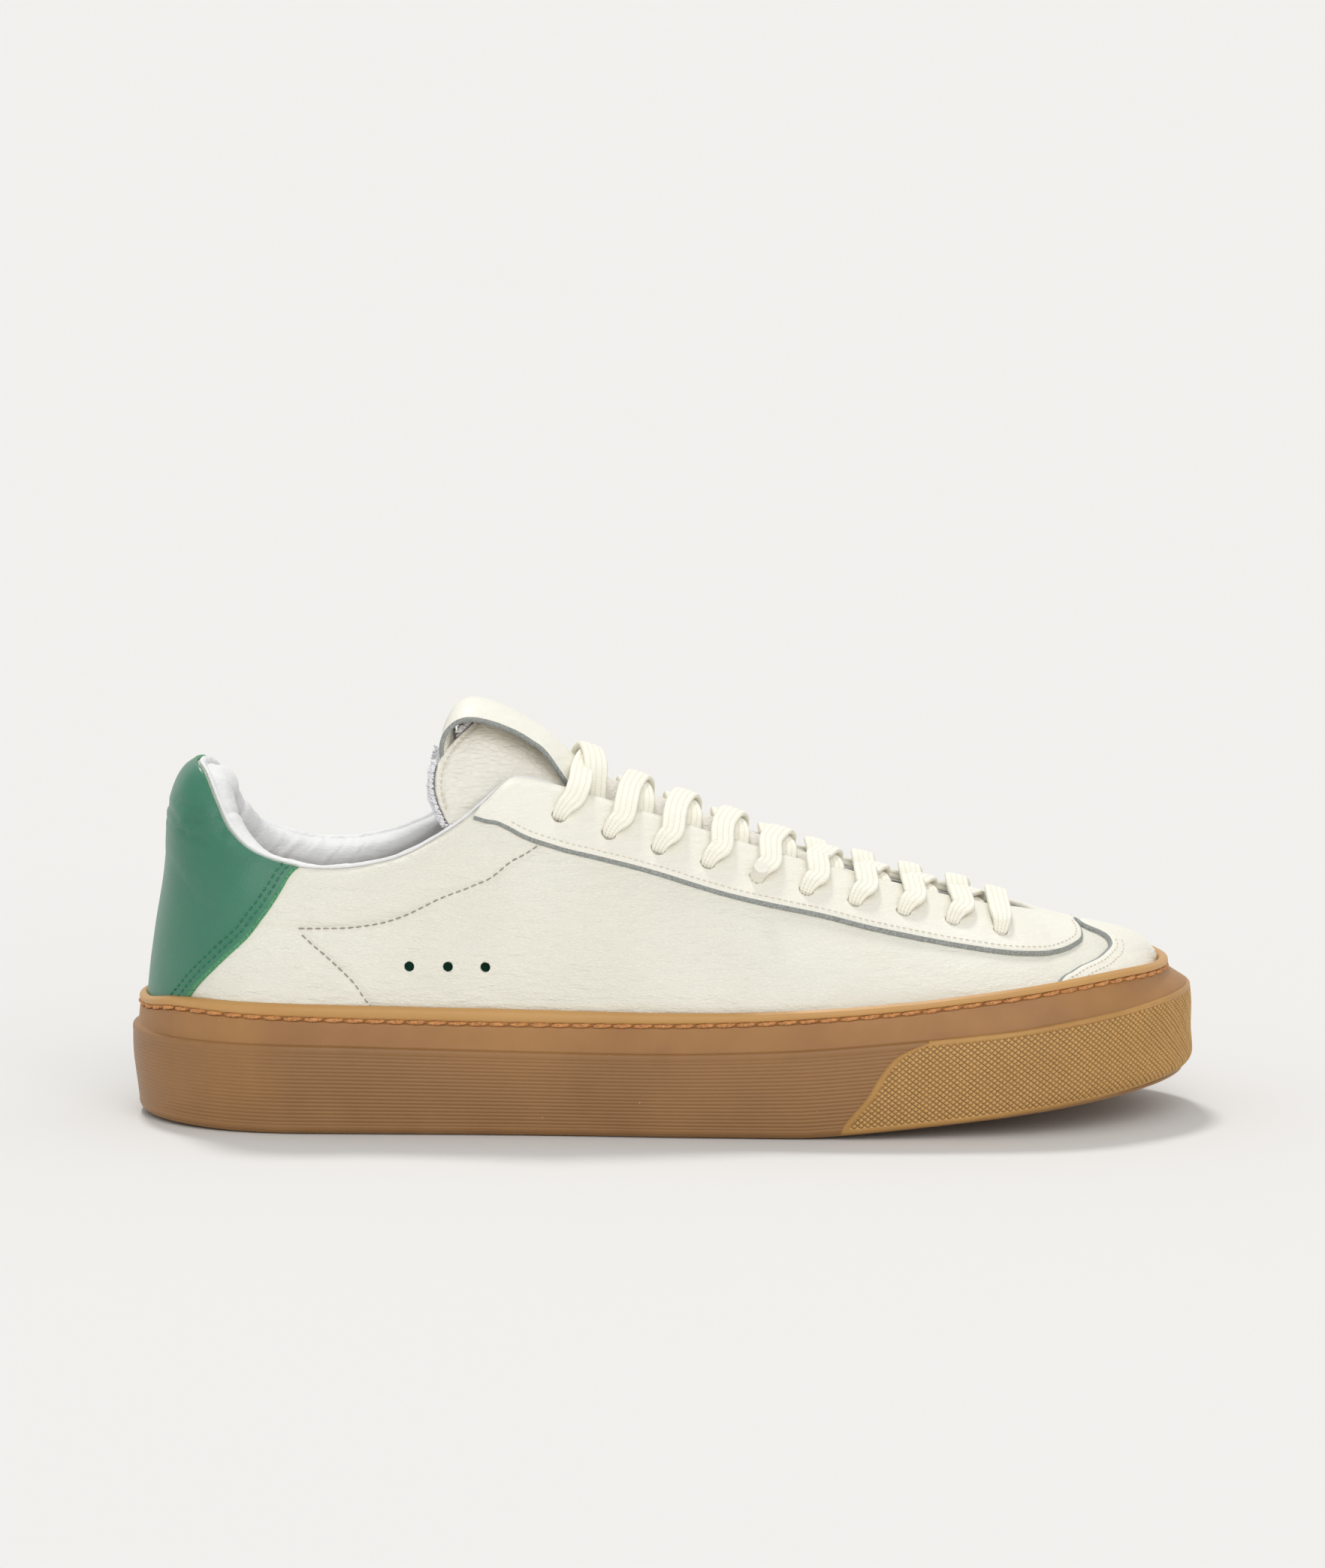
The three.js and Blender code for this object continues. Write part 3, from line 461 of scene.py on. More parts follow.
class Finish:
    """A material whose colour, roughness and relief are built from nodes step by step."""

    def __init__(self, name, roughness, **sockets):
        self.material = bpy.data.materials.new(name)
        self.material.use_nodes = True
        self.tree = self.material.node_tree
        self.surface = self.tree.nodes["Principled BSDF"]
        self.surface.inputs["Roughness"].default_value = roughness
        for socket, value in sockets.items():
            self.surface.inputs[socket.replace("_", " ")].default_value = value
        self.place = self.node("ShaderNodeTexCoord").outputs["Object"]
        self.normal = None

    def node(self, kind, **settings):
        made = self.tree.nodes.new(kind)
        for name, value in settings.items():
            setattr(made, name, value)
        return made

    def feed(self, socket, value):
        if isinstance(value, bpy.types.NodeSocket):
            self.tree.links.new(value, socket)
        else:
            socket.default_value = value

    def stretched(self, scale, turn=(0, 0, 0), where=None):
        made = self.node("ShaderNodeMapping")
        self.feed(made.inputs["Vector"], self.place if where is None else where)
        made.inputs["Rotation"].default_value = turn
        made.inputs["Scale"].default_value = scale
        return made.outputs["Vector"]

    def cloud(self, size, detail=3, rough=0.55, where=None, warp=0.0):
        """Noise with lumps of about size metres."""
        made = self.node("ShaderNodeTexNoise")
        self.feed(made.inputs["Vector"], self.place if where is None else where)
        made.inputs["Scale"].default_value = 1 / size
        made.inputs["Detail"].default_value = detail
        made.inputs["Roughness"].default_value = rough
        made.inputs["Distortion"].default_value = warp
        return made.outputs["Fac"]

    def cells(self, size, where=None, feature="DISTANCE_TO_EDGE"):
        made = self.node("ShaderNodeTexVoronoi", feature=feature)
        self.feed(made.inputs["Vector"], self.place if where is None else where)
        made.inputs["Scale"].default_value = 1 / size
        return made.outputs["Distance"]

    def ramp(self, value, *stops):
        made = self.node("ShaderNodeValToRGB")
        self.feed(made.inputs["Fac"], value)
        line = made.color_ramp.elements
        while len(line) < len(stops):
            line.new(0.5)
        for stop, (at, colour) in zip(line, stops):
            stop.position = at
            level = colour if isinstance(colour, tuple) else (colour,) * 3
            stop.color = (*level, 1)
        return made.outputs["Color"]

    def sum(self, first, second, operation="ADD"):
        made = self.node("ShaderNodeMath", operation=operation)
        self.feed(made.inputs[0], first)
        self.feed(made.inputs[1], second)
        return made.outputs["Value"]

    def blend(self, share, first, second, mode="MIX"):
        """Two colours mixed, each a screen colour or another node's result."""
        made = self.node("ShaderNodeMix", data_type="RGBA", blend_type=mode)
        self.feed(made.inputs["Factor"], share)
        for socket, value in ((made.inputs["A"], first), (made.inputs["B"], second)):
            self.feed(socket, (*linear(*value), 1) if isinstance(value, tuple) else value)
        return made.outputs["Result"]

    def from_middle(self, value):
        """How far the value is from the middle between two whole numbers, 0 to a half."""
        return self.sum(self.sum(self.sum(value, 1.0, "FRACT"), 0.5, "SUBTRACT"), 0.0, "ABSOLUTE")

    def map_ways(self):
        """The two ways of the piece's own map."""
        split = self.node("ShaderNodeSeparateXYZ")
        self.feed(split.inputs[0], self.node("ShaderNodeUVMap", uv_map="Place").outputs["UV"])
        return split.outputs["X"], split.outputs["Y"]

    def colour(self, value):
        self.feed(self.surface.inputs["Base Color"], value)

    def uneven(self, share, spread, least):
        """A roughness that goes from least up by spread as share goes from 0 to 1."""
        self.feed(self.surface.inputs["Roughness"], self.sum(self.sum(share, spread, "MULTIPLY"), least))

    def relief(self, height, depth, strength=1.0):
        """Adds bumps depth metres high over those already there."""
        made = self.node("ShaderNodeBump")
        made.inputs["Strength"].default_value = strength
        made.inputs["Distance"].default_value = depth
        self.feed(made.inputs["Height"], height)
        if self.normal is not None:
            self.feed(made.inputs["Normal"], self.normal)
        self.normal = made.outputs["Normal"]
        self.feed(self.surface.inputs["Normal"], self.normal)


def leather(name, light, dark, grain=0.0010, depth=0.00010, wrinkle=0.00030, roughness=0.5, **sockets):
    """Fine pebbled grain over stretched wrinkles, with shade painted into the creases and into the hollows
    between the pebbles.

    grain is a pebble's size, and depth and wrinkle are the heights of both, in metres.
    """
    made = Finish(name, roughness, **{"Specular_IOR_Level": 0.42, **sockets})
    bent = made.node("ShaderNodeVectorMath", operation="ADD")
    wobble = made.node("ShaderNodeTexNoise")
    made.feed(wobble.inputs["Vector"], made.place)
    wobble.inputs["Scale"].default_value = 380
    small = made.node("ShaderNodeVectorMath", operation="SCALE")
    made.feed(small.inputs[0], wobble.outputs["Color"])
    small.inputs["Scale"].default_value = 0.0011
    made.feed(bent.inputs[0], made.place)
    made.feed(bent.inputs[1], small.outputs["Vector"])
    slant = (0, math.radians(-12), 0)
    drawn = made.stretched((0.6, 0.8, 1.3), slant, bent.outputs["Vector"])
    pebbles = made.ramp(made.cells(grain, drawn), (0, 0.0), (0.25, 0.7), (0.6, 1.0))
    flow = made.stretched((0.4, 0.5, 1.4), slant)
    creases = made.ramp(made.cloud(0.0024, 3, 0.5, flow, 0.4), (0.2, 0.0), (0.8, 1.0))
    made.relief(creases, wrinkle, 1.0)
    made.relief(pebbles, depth, 0.8)
    made.relief(made.cloud(0.00028, 2), depth * 0.3, 0.6)
    broad = made.cloud(0.05, 2)
    tone = made.blend(made.ramp(broad, (0.3, 0.0), (0.7, 1.0)), dark, light)
    # painted shade: the colour is darkened in the creases and in the valleys between the pebbles
    shade = made.ramp(creases, (0, 0.965), (1, 1.0))
    shade = made.sum(made.ramp(pebbles, (0, 0.955), (1, 1.0)), shade, "MULTIPLY")
    made.colour(made.blend(1.0, tone, shade, "MULTIPLY"))
    made.uneven(broad, 0.16, roughness - 0.08)
    return made.material


def gum(name, light, dark, roughness=0.42, groove=None):
    """Translucent gum rubber with soft clouds and tiny pale specks.

    Given the colour of its grooves it is knurled, and that darker colour is shade painted into the grooves;
    its map counts them along and across.
    """
    made = Finish(name, roughness, Specular_IOR_Level=0.45, Subsurface_Weight=0.12)
    made.surface.inputs["Subsurface Radius"].default_value = (1.0, 0.45, 0.18)
    made.surface.inputs["Subsurface Scale"].default_value = 0.0025
    clouds = made.cloud(0.03, 4, 0.6)
    tone = made.blend(made.ramp(clouds, (0.35, 0.0), (0.68, 1.0)), dark, light)
    if groove:
        off = [made.from_middle(way) for way in made.map_ways()]
        # painted shade: the knurl's grooves are coloured darker
        groove_shade = made.ramp(made.sum(off[0], off[1], "MAXIMUM"), (0.28, 0.0), (0.48, 1.0))
        tone = made.blend(groove_shade, tone, groove)
    dots = made.ramp(made.cells(0.0042, feature="F1"), (0.035, 1.0), (0.06, 0.0))
    rare = made.ramp(made.cloud(0.006, 1), (0.56, 0.0), (0.62, 1.0))
    specks = made.sum(made.sum(dots, rare, "MULTIPLY"), 0.45, "MULTIPLY")
    made.colour(made.blend(specks, tone, (226, 190, 140)))
    made.relief(made.cloud(0.0007, 3), 0.00003, 0.7)
    made.uneven(clouds, 0.2, roughness - 0.1)
    return made.material


def textile(name, light, dark, loop, depth):
    """A matt textile with a surface of small loops or fibres, loop metres wide and depth high."""
    made = Finish(name, 0.95, Specular_IOR_Level=0.25, Sheen_Weight=0.25, Sheen_Roughness=0.5)
    loops = made.cells(loop, feature="F1")
    fluff = made.cloud(loop * 0.6, 3, 0.7)
    made.relief(made.ramp(loops, (0, 1.0), (0.75, 0.0)), depth)
    made.relief(fluff, depth * 0.5, 0.8)
    # painted shade: darker between the loops and in the fluff's hollows, lighter on their tops
    shade = made.ramp(loops, (0.1, 1.0), (0.9, 0.0))
    shade = made.sum(shade, made.ramp(fluff, (0.3, 0.4), (0.7, 1.0)), "MULTIPLY")
    made.colour(made.blend(shade, dark, light))
    return made.material


def cord(name, light, dark, twist=0.0009):
    """Spun thread, seen as slanting fibres."""
    made = Finish(name, 0.75, Specular_IOR_Level=0.35, Sheen_Weight=0.2)
    fibres = made.cloud(twist, 3, 0.6, made.stretched((1, 1, 2.2), (0, math.radians(35), 0)))
    # painted highlight and shade: the colour follows the fibres' relief, lighter on its ridges and darker in
    # its hollows
    made.colour(made.blend(made.ramp(fibres, (0.3, 0.0), (0.6, 1.0)), dark, light))
    made.relief(fibres, 0.00006)
    return made.material


def woven(name, light, dark):
    """The flat lace's weave. Its map runs across the lace in u and along it in v, in widths."""
    made = Finish(name, 0.88, Specular_IOR_Level=0.25, Sheen_Weight=0.3, Sheen_Roughness=0.45)
    over, on = made.map_ways()
    rib = made.sum(made.sum(over, 8.0, "MULTIPLY"), 1.0, "PINGPONG")
    zigzag = made.sum(rib, 0.5, "MULTIPLY")
    yarn = made.from_middle(made.sum(made.sum(on, 9.0, "MULTIPLY"), zigzag))
    made.relief(made.ramp(rib, (0.0, 0.0), (0.35, 0.8), (0.8, 1.0)), 0.00012)
    made.relief(made.ramp(yarn, (0.0, 1.0), (0.5, 0.0)), 0.00009)
    made.relief(made.cloud(0.0004, 3, 0.7), 0.0001, 0.7)
    # painted shade: the colour is darker in the rib grooves and between the yarns, where the weave is low
    shade = made.ramp(rib, (0.0, 0.5), (0.3, 1.0))
    shade = made.sum(shade, made.ramp(yarn, (0.2, 1.0), (0.5, 0.7)), "MULTIPLY")
    made.colour(made.blend(shade, dark, light))
    return made.material


def raw_edge(name, light, dark):
    """The cut edge of the leather, a felt of fibres."""
    made = Finish(name, 0.95, Specular_IOR_Level=0.2, Sheen_Weight=0.2)
    fibres = made.cloud(0.0005, 4, 0.75)
    # painted highlight and shade: the colour follows the fibres' relief, lighter on raised fibres and darker
    # in the hollows
    made.colour(made.blend(made.ramp(fibres, (0.35, 0.0), (0.65, 1.0)), dark, light))
    made.relief(fibres, 0.0002)
    return made.material


IVORY = leather("ivory_leather", (237, 235, 223), (231, 228, 215))
OVERLAY_IVORY = leather(
    "smooth_ivory_leather", (244, 242, 231), (239, 236, 224), depth=0.00006, wrinkle=0.00022,
)
TUMBLED = leather(
    "tumbled_leather", (243, 239, 229), (236, 232, 221), grain=0.0019, depth=0.00022,
    wrinkle=0.00030,
)
GREEN = leather(
    "green_leather", (60, 128, 102), (46, 112, 88), grain=0.0008, depth=0.00004,
    wrinkle=0.00004, roughness=0.36, Specular_IOR_Level=0.6,
)
GREEN_EDGE = raw_edge("green_raw_edge", (112, 178, 130), (38, 110, 76))
GREY_EDGE = raw_edge("grey_raw_edge", (176, 179, 175), (122, 126, 124))
LINING = leather(
    "white_lining", (240, 240, 240), (231, 231, 233), grain=0.0013, depth=0.00005,
    wrinkle=0.00012, roughness=0.6,
)
GUM_RIM = gum("gum_rim", (196, 151, 92), (189, 143, 84))
GUM_BAND = gum("gum_band", (168, 123, 74), (152, 108, 64), 0.5)
GUM_SIDE = gum("gum_side", (152, 110, 66), (140, 101, 60))
GUM_BUMPER = gum("gum_bumper", (186, 142, 80), (168, 124, 66))
# The knurl's pads are painted lighter than the plain bumper gum, a painted highlight on the raised pads, and
# its grooves take a darker colour as painted shade.
GUM_KNURL = gum(
    "gum_knurl", (204, 162, 98), (188, 146, 84), 0.45, (140, 98, 50),
)
GUM_TREAD = gum("gum_tread", (168, 124, 72), (146, 106, 62), 0.5)
COPPER = cord("copper_thread", (216, 154, 94), (150, 94, 50))
IVORY_THREAD = cord("ivory_thread", (232, 226, 210), (178, 168, 150), 0.0005)
GREY_THREAD = cord("grey_thread", (166, 156, 142), (112, 102, 90), 0.0005)
GREEN_THREAD = cord("green_thread", (40, 140, 96), (10, 62, 42), 0.0005)
TERRY = textile("terry", (250, 250, 251), (232, 231, 236), 0.0009, 0.0003)
SUEDE = textile("footbed_textile", (236, 234, 226), (214, 211, 202), 0.0007, 0.0001)
UNDERLAY = textile("green_underlay", (26, 84, 60), (12, 50, 36), 0.0007, 0.0001)
LACE = woven("lace_cotton", (250, 247, 234), (232, 226, 205))
BOARD = textile("fibre_board", (206, 198, 178), (178, 170, 150), 0.0009, 0.0001)
FOAM = textile("foam", (226, 221, 205), (196, 190, 172), 0.0012, 0.0003)
AGLET = raw_edge("aglet_film", (238, 236, 226), (222, 219, 206))


# ---------------------------------------------------------------- camera, light and floor

def camera_and_light():
    """The camera looks 8 degrees down from two metres off, at a point halfway along the shoe."""
    rise = math.radians(8)
    far = 2000.0
    aim = np.array([LENGTH / 2, 0, 92.7])
    eye = aim + far * np.array([0, -math.cos(rise), math.sin(rise)])
    view = bpy.data.cameras.new("camera")
    view.sensor_width = 36
    view.lens = 162.9
    view.clip_end = 50
    camera = added("camera", view)
    camera.location = metres(eye)
    camera.rotation_euler = (math.pi / 2 - rise, 0, 0)
    scene = bpy.context.scene
    scene.camera = camera
    scene.view_settings.view_transform = "Standard"

    world = bpy.data.worlds.new("studio")
    world.use_nodes = True
    tree = world.node_tree
    sky = tree.nodes["Background"]
    heading = tree.nodes.new("ShaderNodeTexCoord")
    split = tree.nodes.new("ShaderNodeSeparateXYZ")
    shade = tree.nodes.new("ShaderNodeValToRGB")
    tree.links.new(heading.outputs["Generated"], split.inputs[0])
    tree.links.new(split.outputs["Z"], shade.inputs["Fac"])
    tree.links.new(shade.outputs["Color"], sky.inputs["Color"])
    line = shade.color_ramp.elements
    line[0].position, line[1].position = 0.14, 0.5
    line[0].color = (*linear(240, 239, 235), 1)
    line[1].color = (*linear(205, 206, 206), 1)
    scene.world = world

    def sun(name, bearing, height, softness, strength, tint=(1, 1, 1)):
        """bearing is where the light comes from, in degrees round from +X, and height is above level."""
        light = bpy.data.lights.new(name, "SUN")
        light.angle = math.radians(softness)
        light.energy = strength
        light.color = tint
        turn, lift = math.radians(bearing), math.radians(height)
        source = Vector((math.cos(turn) * math.cos(lift), math.sin(turn) * math.cos(lift), math.sin(lift)))
        added(name, light).rotation_euler = (-source).to_track_quat("-Z", "Y").to_euler()

    sun("key", 108, 60, 10, 1.4, (1, 0.985, 0.955))
    sun("fill", -75, 32, 55, 1.0, (1, 0.99, 0.97))

    floor = bpy.data.meshes.new("floor")
    reach = 30
    floor.from_pydata(
        [(-reach, -reach, 0), (reach, -reach, 0), (reach, reach, 0), (-reach, reach, 0)], [], [(0, 1, 2, 3)],
    )
    paint = Finish("floor_paint", 1.0, Specular_IOR_Level=0.0)
    paint.colour(paint.blend(paint.cloud(0.4, 2), (223, 222, 221), (224, 223, 222)))
    floor.materials.append(paint.material)
    ground = added("floor", floor)
    ground.location = (0, 0, -0.0002)


camera_and_light()


def place(obj, body, slot_name, *nodes):
    """The piece rides on its body and stands for CAD nodes. Its slot_name is not used."""
    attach(obj, body)
    if nodes:
        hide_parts(*nodes)
    return obj


# ---------------------------------------------------------------- the cup sole

def ring_places(step):
    """Angles and sides once round the sole, from the heel along the lateral side and back."""
    out = spaced(0, LENGTH, step, LATERAL)
    home = spaced(0, LENGTH, step, MEDIAL)[::-1][1:-1]
    angle = np.concatenate([out, home])
    side = np.concatenate([np.full(len(out), LATERAL), np.full(len(home), MEDIAL)])
    return angle, side


def round_run(angle, side):
    """The length along the sole's edge, from the toe's tip, of each place."""
    run = np.zeros(len(angle))
    fine = np.linspace(0, np.pi, 3000)
    for s in SIDES:
        length = edge_run(fine, s)
        here = side == s
        run[here] = s * (length[-1] - np.interp(angle[here], fine, length))
    return run


def bumper_edge(height):
    """The station of the toe bumper's rear edge at a share of the side's height."""
    return through([0, 199], [0.12, 200.5], [0.4, 206.5], [0.66, 210.5], [0.86, 215.5], [1, 225])(height)


def rim_top(x):
    """The rolled rim's top, which dips a little round the back of the heel."""
    return rim_height(x) - 2.8 * bump(x, 8)


stitch_drop = through([0, 2.7], [12, 3.4], [50, 4.1], [100, 4.2], [150, 3.6], [200, 2.9], [300, 2.7])


def between_edges(angle, inset, across):
    """A level grid set in from the sole's edge. across goes from -1, lateral, to 1, medial."""
    lateral, medial = (sole_point(angle, side, inset, 0 * angle) for side in SIDES)
    share = (across[None, :, None] + 1) / 2
    return lateral[:, None] * (1 - share) + medial[:, None] * share


def rounded(share):
    """The drop of a quarter round, from 0 at its start to 1 at its end."""
    return 1 - np.sqrt(np.clip(1 - np.clip(share, 0, 1) ** 2, 0, 1))


def rows_round(angle, side, rows):
    """Grid points for (inset, z) rows, each given for every place."""
    return np.stack([sole_point(angle, side, inset, z) for inset, z in rows], 1)


def make_sole_rim():
    """The rolled rim, the stitch groove, the smooth band under it and the ledge of the step."""
    angle, side = ring_places(1.0)
    x = station(angle)
    rim, edge, step = rim_top(x), rim_inset(x), step_height(x)
    inner = edge + RIM_WALL
    drop = stitch_drop(x)
    groove = rim - drop
    low = groove - 1.0
    control = [
        (0.9 + 0 * x, step - 0.35), (1.5 + 0 * x, step + 0.12), (1.75 + 0 * x, step + 0.5),
        (mix(1.75, edge, 0.3), mix(step + 0.5, low, 0.3)),
        (mix(1.75, edge, 0.66) - 0.05, mix(step + 0.5, low, 0.66)),
        (edge + 0.0, low), (edge + 0.3, groove - 0.65), (edge + 0.85, groove - 0.35),
        (edge + 1.05, groove), (edge + 0.8, groove + 0.35), (edge + 0.2, groove + 0.65),
        (edge - 0.15, groove + 0.3 * drop), (edge - 0.25, groove + 0.52 * drop),
        (edge - 0.05, groove + 0.75 * drop),
        (edge + 0.5, rim - 0.35), (edge + 1.2, rim), (edge + 1.9, rim - 0.25),
        (inner, rim - 1.0), (inner, rim - 3.5), (inner + 0.1, rim - 8.0),
    ]
    rows = catmull(np.array(control), 66)
    points = rows_round(angle, side, rows)
    n, m = points.shape[:2]
    wobble = 0.12 * ripple(points, 9.0) + 0.05 * ripple(points, 2.5, 3)
    band_rows = 27
    points[..., 2] += wobble * smooth(34, 44, np.arange(m))[None, :]
    quads = grid_quads(n, m, wrap=True)
    kind = np.tile(np.where(np.arange(m - 1) < band_rows, 1, 0), n)
    obj = make("sole_rim", points, quads, [GUM_RIM, GUM_BAND], kind)
    return place(obj, "shoe", "gum_rubber", "cupsole")


RIBS = 19
RIBS_FROM, RIBS_TO, RIBS_SPAN = 0.075, 0.915, 0.84
heel_inset = through([0, 2], [0.06, 1.75], [0.22, 1.3], [0.4, 0.75], [0.62, 0.15], [0.8, 0], [1, 0.1])
side_inset = through([0, 2.4], [0.05, 1.9], [0.2, 1.3], [0.5, 0.5], [0.8, 0.05], [1, 0.1])
toe_inset = through([0, 3.4], [0.05, 1.6], [0.12, 0.4], [0.2, 0.1], [0.45, 0.55], [0.75, 0.5], [1, 1])


def side_surface(angle, share):
    """The side band's inset and height at a share of its height."""
    x = station(angle)
    inset = mix(side_inset(share), heel_inset(share), bump(x, 60))
    inset = mix(inset, toe_inset(share), smooth(225, 300, x))
    return inset, mix(bottom_height(x) + 0.5, step_height(x), share)


def make_side_band():
    """The ribbed side band behind the bumper, with a plain lip above and below."""
    angle, side = ring_places(1.5)
    keep = station(angle) < 229
    run = round_run(angle, side)
    length = np.abs(run).max()
    order = np.argsort(np.where(run < 0, run, run - 2 * length + 1e-6))
    order = order[keep[order]]
    angle, side = angle[order], side[order]
    share = np.concatenate([
        np.linspace(0, RIBS_FROM, 7)[:-1], np.linspace(RIBS_FROM, RIBS_TO, RIBS * 6 + 1),
        np.linspace(RIBS_TO, 1, 8)[1:],
    ])
    inset, z = side_surface(angle[:, None], share[None, :])
    inside = smooth(0.07, 0.085, share) * smooth(0.925, 0.905, share)
    ribs = 0.5 + 0.5 * np.cos(2 * np.pi * (share - RIBS_FROM) / RIBS_SPAN * RIBS)
    inset = inset + (0.10 + 0.2 * ribs**2) * inside
    inset = inset + 0.95 * rounded((share - 0.955) / 0.045) + 0.9 * rounded((0.03 - share) / 0.03)
    points = rows_round(angle, side, zip(inset.T, z.T))
    points[..., 2] += 0.10 * ripple(points, (30, 30, 2.0))
    tuck = sole_point(angle, side, inset[:, -1] + 1.7, z[:, -1] - 0.3)
    points = np.concatenate([points, tuck[:, None]], 1)
    obj = make("sole_side_band", points, grid_quads(*points.shape[:2])[:, ::-1], [GUM_SIDE])
    return place(obj, "shoe", "gum_rubber", "cupsole")


def make_bumper():
    """The raised toe bumper: a knurled field inside a plain border lip."""
    pitch, slant, lip, proud = 1.9, 1.18, 1.25, 0.55
    start, step = 193, 0.36
    near_side = spaced(start, LENGTH, step, LATERAL)
    fine = np.concatenate([near_side, spaced(start, LENGTH, step, MEDIAL)[::-1][1:]])
    half = len(near_side)
    side = np.where(np.arange(len(fine)) < half, LATERAL, MEDIAL)
    run = round_run(fine, side)
    share = np.linspace(0, 1, 80)
    share[1], share[-2] = 0.006, 0.994
    inset, z = side_surface(fine[:, None], share[None, :])
    x = station(fine)[:, None]
    tall = step_height(x) - bottom_height(x)
    height = share[None, :] * tall
    from_rear = (x - bumper_edge(share)[None, :]) * 0.72
    from_edge = np.minimum(np.minimum(height, tall - height), from_rear)
    raised = smooth(-0.15, 0.25, from_rear)
    field = smooth(lip, lip + 0.35, from_edge)
    u = (run[:, None] + slant * height) / pitch
    w = (run[:, None] - slant * height) / pitch
    ridge = np.maximum(np.abs(u % 1 - 0.5), np.abs(w % 1 - 0.5))
    pads = smooth(0.46, 0.26, ridge)
    lift = raised * (proud - field * (0.56 - 0.58 * pads))
    border = np.clip(1 - from_edge / 0.7, 0, 1) * (from_edge == np.minimum(height, tall - height))
    lift = lift - 0.55 * border**2
    inset = inset - lift + 0.45 * (1 - raised)
    points = rows_round(fine, side, zip(inset.T, z.T))
    tuck = sole_point(fine, side, 1.9 + 0 * fine, z[:, -1] - 0.3)
    points = np.concatenate([points, tuck[:, None]], 1)
    quads = grid_quads(*points.shape[:2])[:, ::-1]

    def with_tuck(values):
        """The tuck's points say what the last row's say."""
        return np.concatenate([values, values[:, -1:]], 1)

    quads = quads[with_tuck(from_rear > -0.9).reshape(-1)[quads].all(1)]
    # The knurled mask gives the raised field the knurl gum, with its painted highlight on the pads and
    # painted shade in the grooves.
    knurled = with_tuck((field > 0.5) & (raised > 0.5)).reshape(-1)[quads].all(1)
    lay = with_tuck(np.stack([u, w], -1))
    obj = make("sole_toe_bumper", points, quads, [GUM_BUMPER, GUM_KNURL], knurled, uv=lay)
    return place(obj, "shoe", "gum_rubber", "cupsole")


def make_tread():
    """The underside: a herringbone of narrow grooves inside a plain border."""
    angle = spaced(0, LENGTH, 0.9)[1:-1]
    across = np.linspace(-1, 1, 121)
    x = station(angle)
    edge_inset, zigzag, pitch = 2.3, 14.0, 5.2
    points = between_edges(angle, edge_inset, across)
    z = bottom_height(points[..., 0])
    width = np.linalg.norm(points[:, -1] - points[:, 0], axis=1)[:, None]
    border = np.minimum((1 - np.abs(across))[None, :] * width / 2, np.minimum(x, LENGTH - x)[:, None] * 1.6)
    zig = np.abs((points[..., 1] / zigzag) % 1 - 0.5) * zigzag
    wave = (points[..., 0] + zig) / pitch % 1
    groove = smooth(0.30, 0.38, wave) * smooth(0.62, 0.54, wave)
    cutout = smooth(6.0, 6.8, border)
    gutter = bump(border - 5.0, 0.7)
    points[..., 2] = z + cutout * 1.1 * groove + 0.9 * gutter + np.clip(1 - border / 1.4, 0, 1) ** 2
    quads = grid_quads(*points.shape[:2])[:, ::-1]
    obj = make("sole_tread", points, quads, [GUM_TREAD])
    return place(obj, "shoe", "gum_rubber", "cupsole")


def rope_stitch(path, up, radius):
    """One stitch of three-strand rope along a path, as (points, quads)."""
    spokes, lay = 14, 0.62
    path = even(path, 0.14)
    n = len(path)
    run = np.linspace(0, 1, n)
    size = radius * (0.3 + 0.7 * np.sin(np.pi * np.clip(run, 0.02, 0.98)) ** 0.45)
    length = np.linalg.norm(np.diff(path, axis=0), axis=1).sum()
    points, quads = tube(path, size, spokes, up)
    points = points.reshape(n, spokes, 3)
    turn = np.linspace(0, 2 * np.pi, spokes, endpoint=False)[None, :]
    twist = np.cos(3 * turn - 2 * np.pi * run[:, None] * length / lay)
    points = path[:, None] + (points - path[:, None]) * (1 + 0.22 * twist[..., None])
    return points.reshape(-1, 3), quads


def make_sidewall_thread():
    """The lock stitch all round: rope-laid stitches that dive into the groove at each end."""
    angle, side = ring_places(0.5)
    x = station(angle)
    track = sole_point(angle, side, rim_inset(x) + 0.38, rim_top(x) - stitch_drop(x))
    out = sole_point(angle, side, rim_inset(x) - 0.62, rim_top(x) - stitch_drop(x)) - track
    closed = np.concatenate([track, track[:1]])
    run = run_of(closed)
    pitch, radius = 5.75, 0.56
    count = round(run[-1] / pitch)
    pitch = run[-1] / count
    parts = []
    at = np.linspace(0, 1, 15)
    for k in range(count):
        place_on = (k + 0.07 + 0.89 * at) * pitch % run[-1]
        centre = read_at(place_on, run, closed)
        aim = read_at(place_on, run[:-1], out)
        sunk = -1.0 + 1.27 * np.sin(np.pi * at) ** 0.5
        rise = 0.32 * (LATERAL if centre[7, 1] < 0 else MEDIAL) * (0.5 - at)
        path = centre + unit(aim) * sunk[:, None] + np.array([0, 0, 1]) * rise[:, None]
        parts.append(rope_stitch(path, aim[7], radius))
    obj = make("sidewall_lockstitch", *bundled(parts), [COPPER])
    return place(obj, "shoe", "copper_thread", "sidewall_thread")


make_sole_rim()
make_side_band()
make_bumper()
make_tread()
make_sidewall_thread()


# ---------------------------------------------------------------- the upper

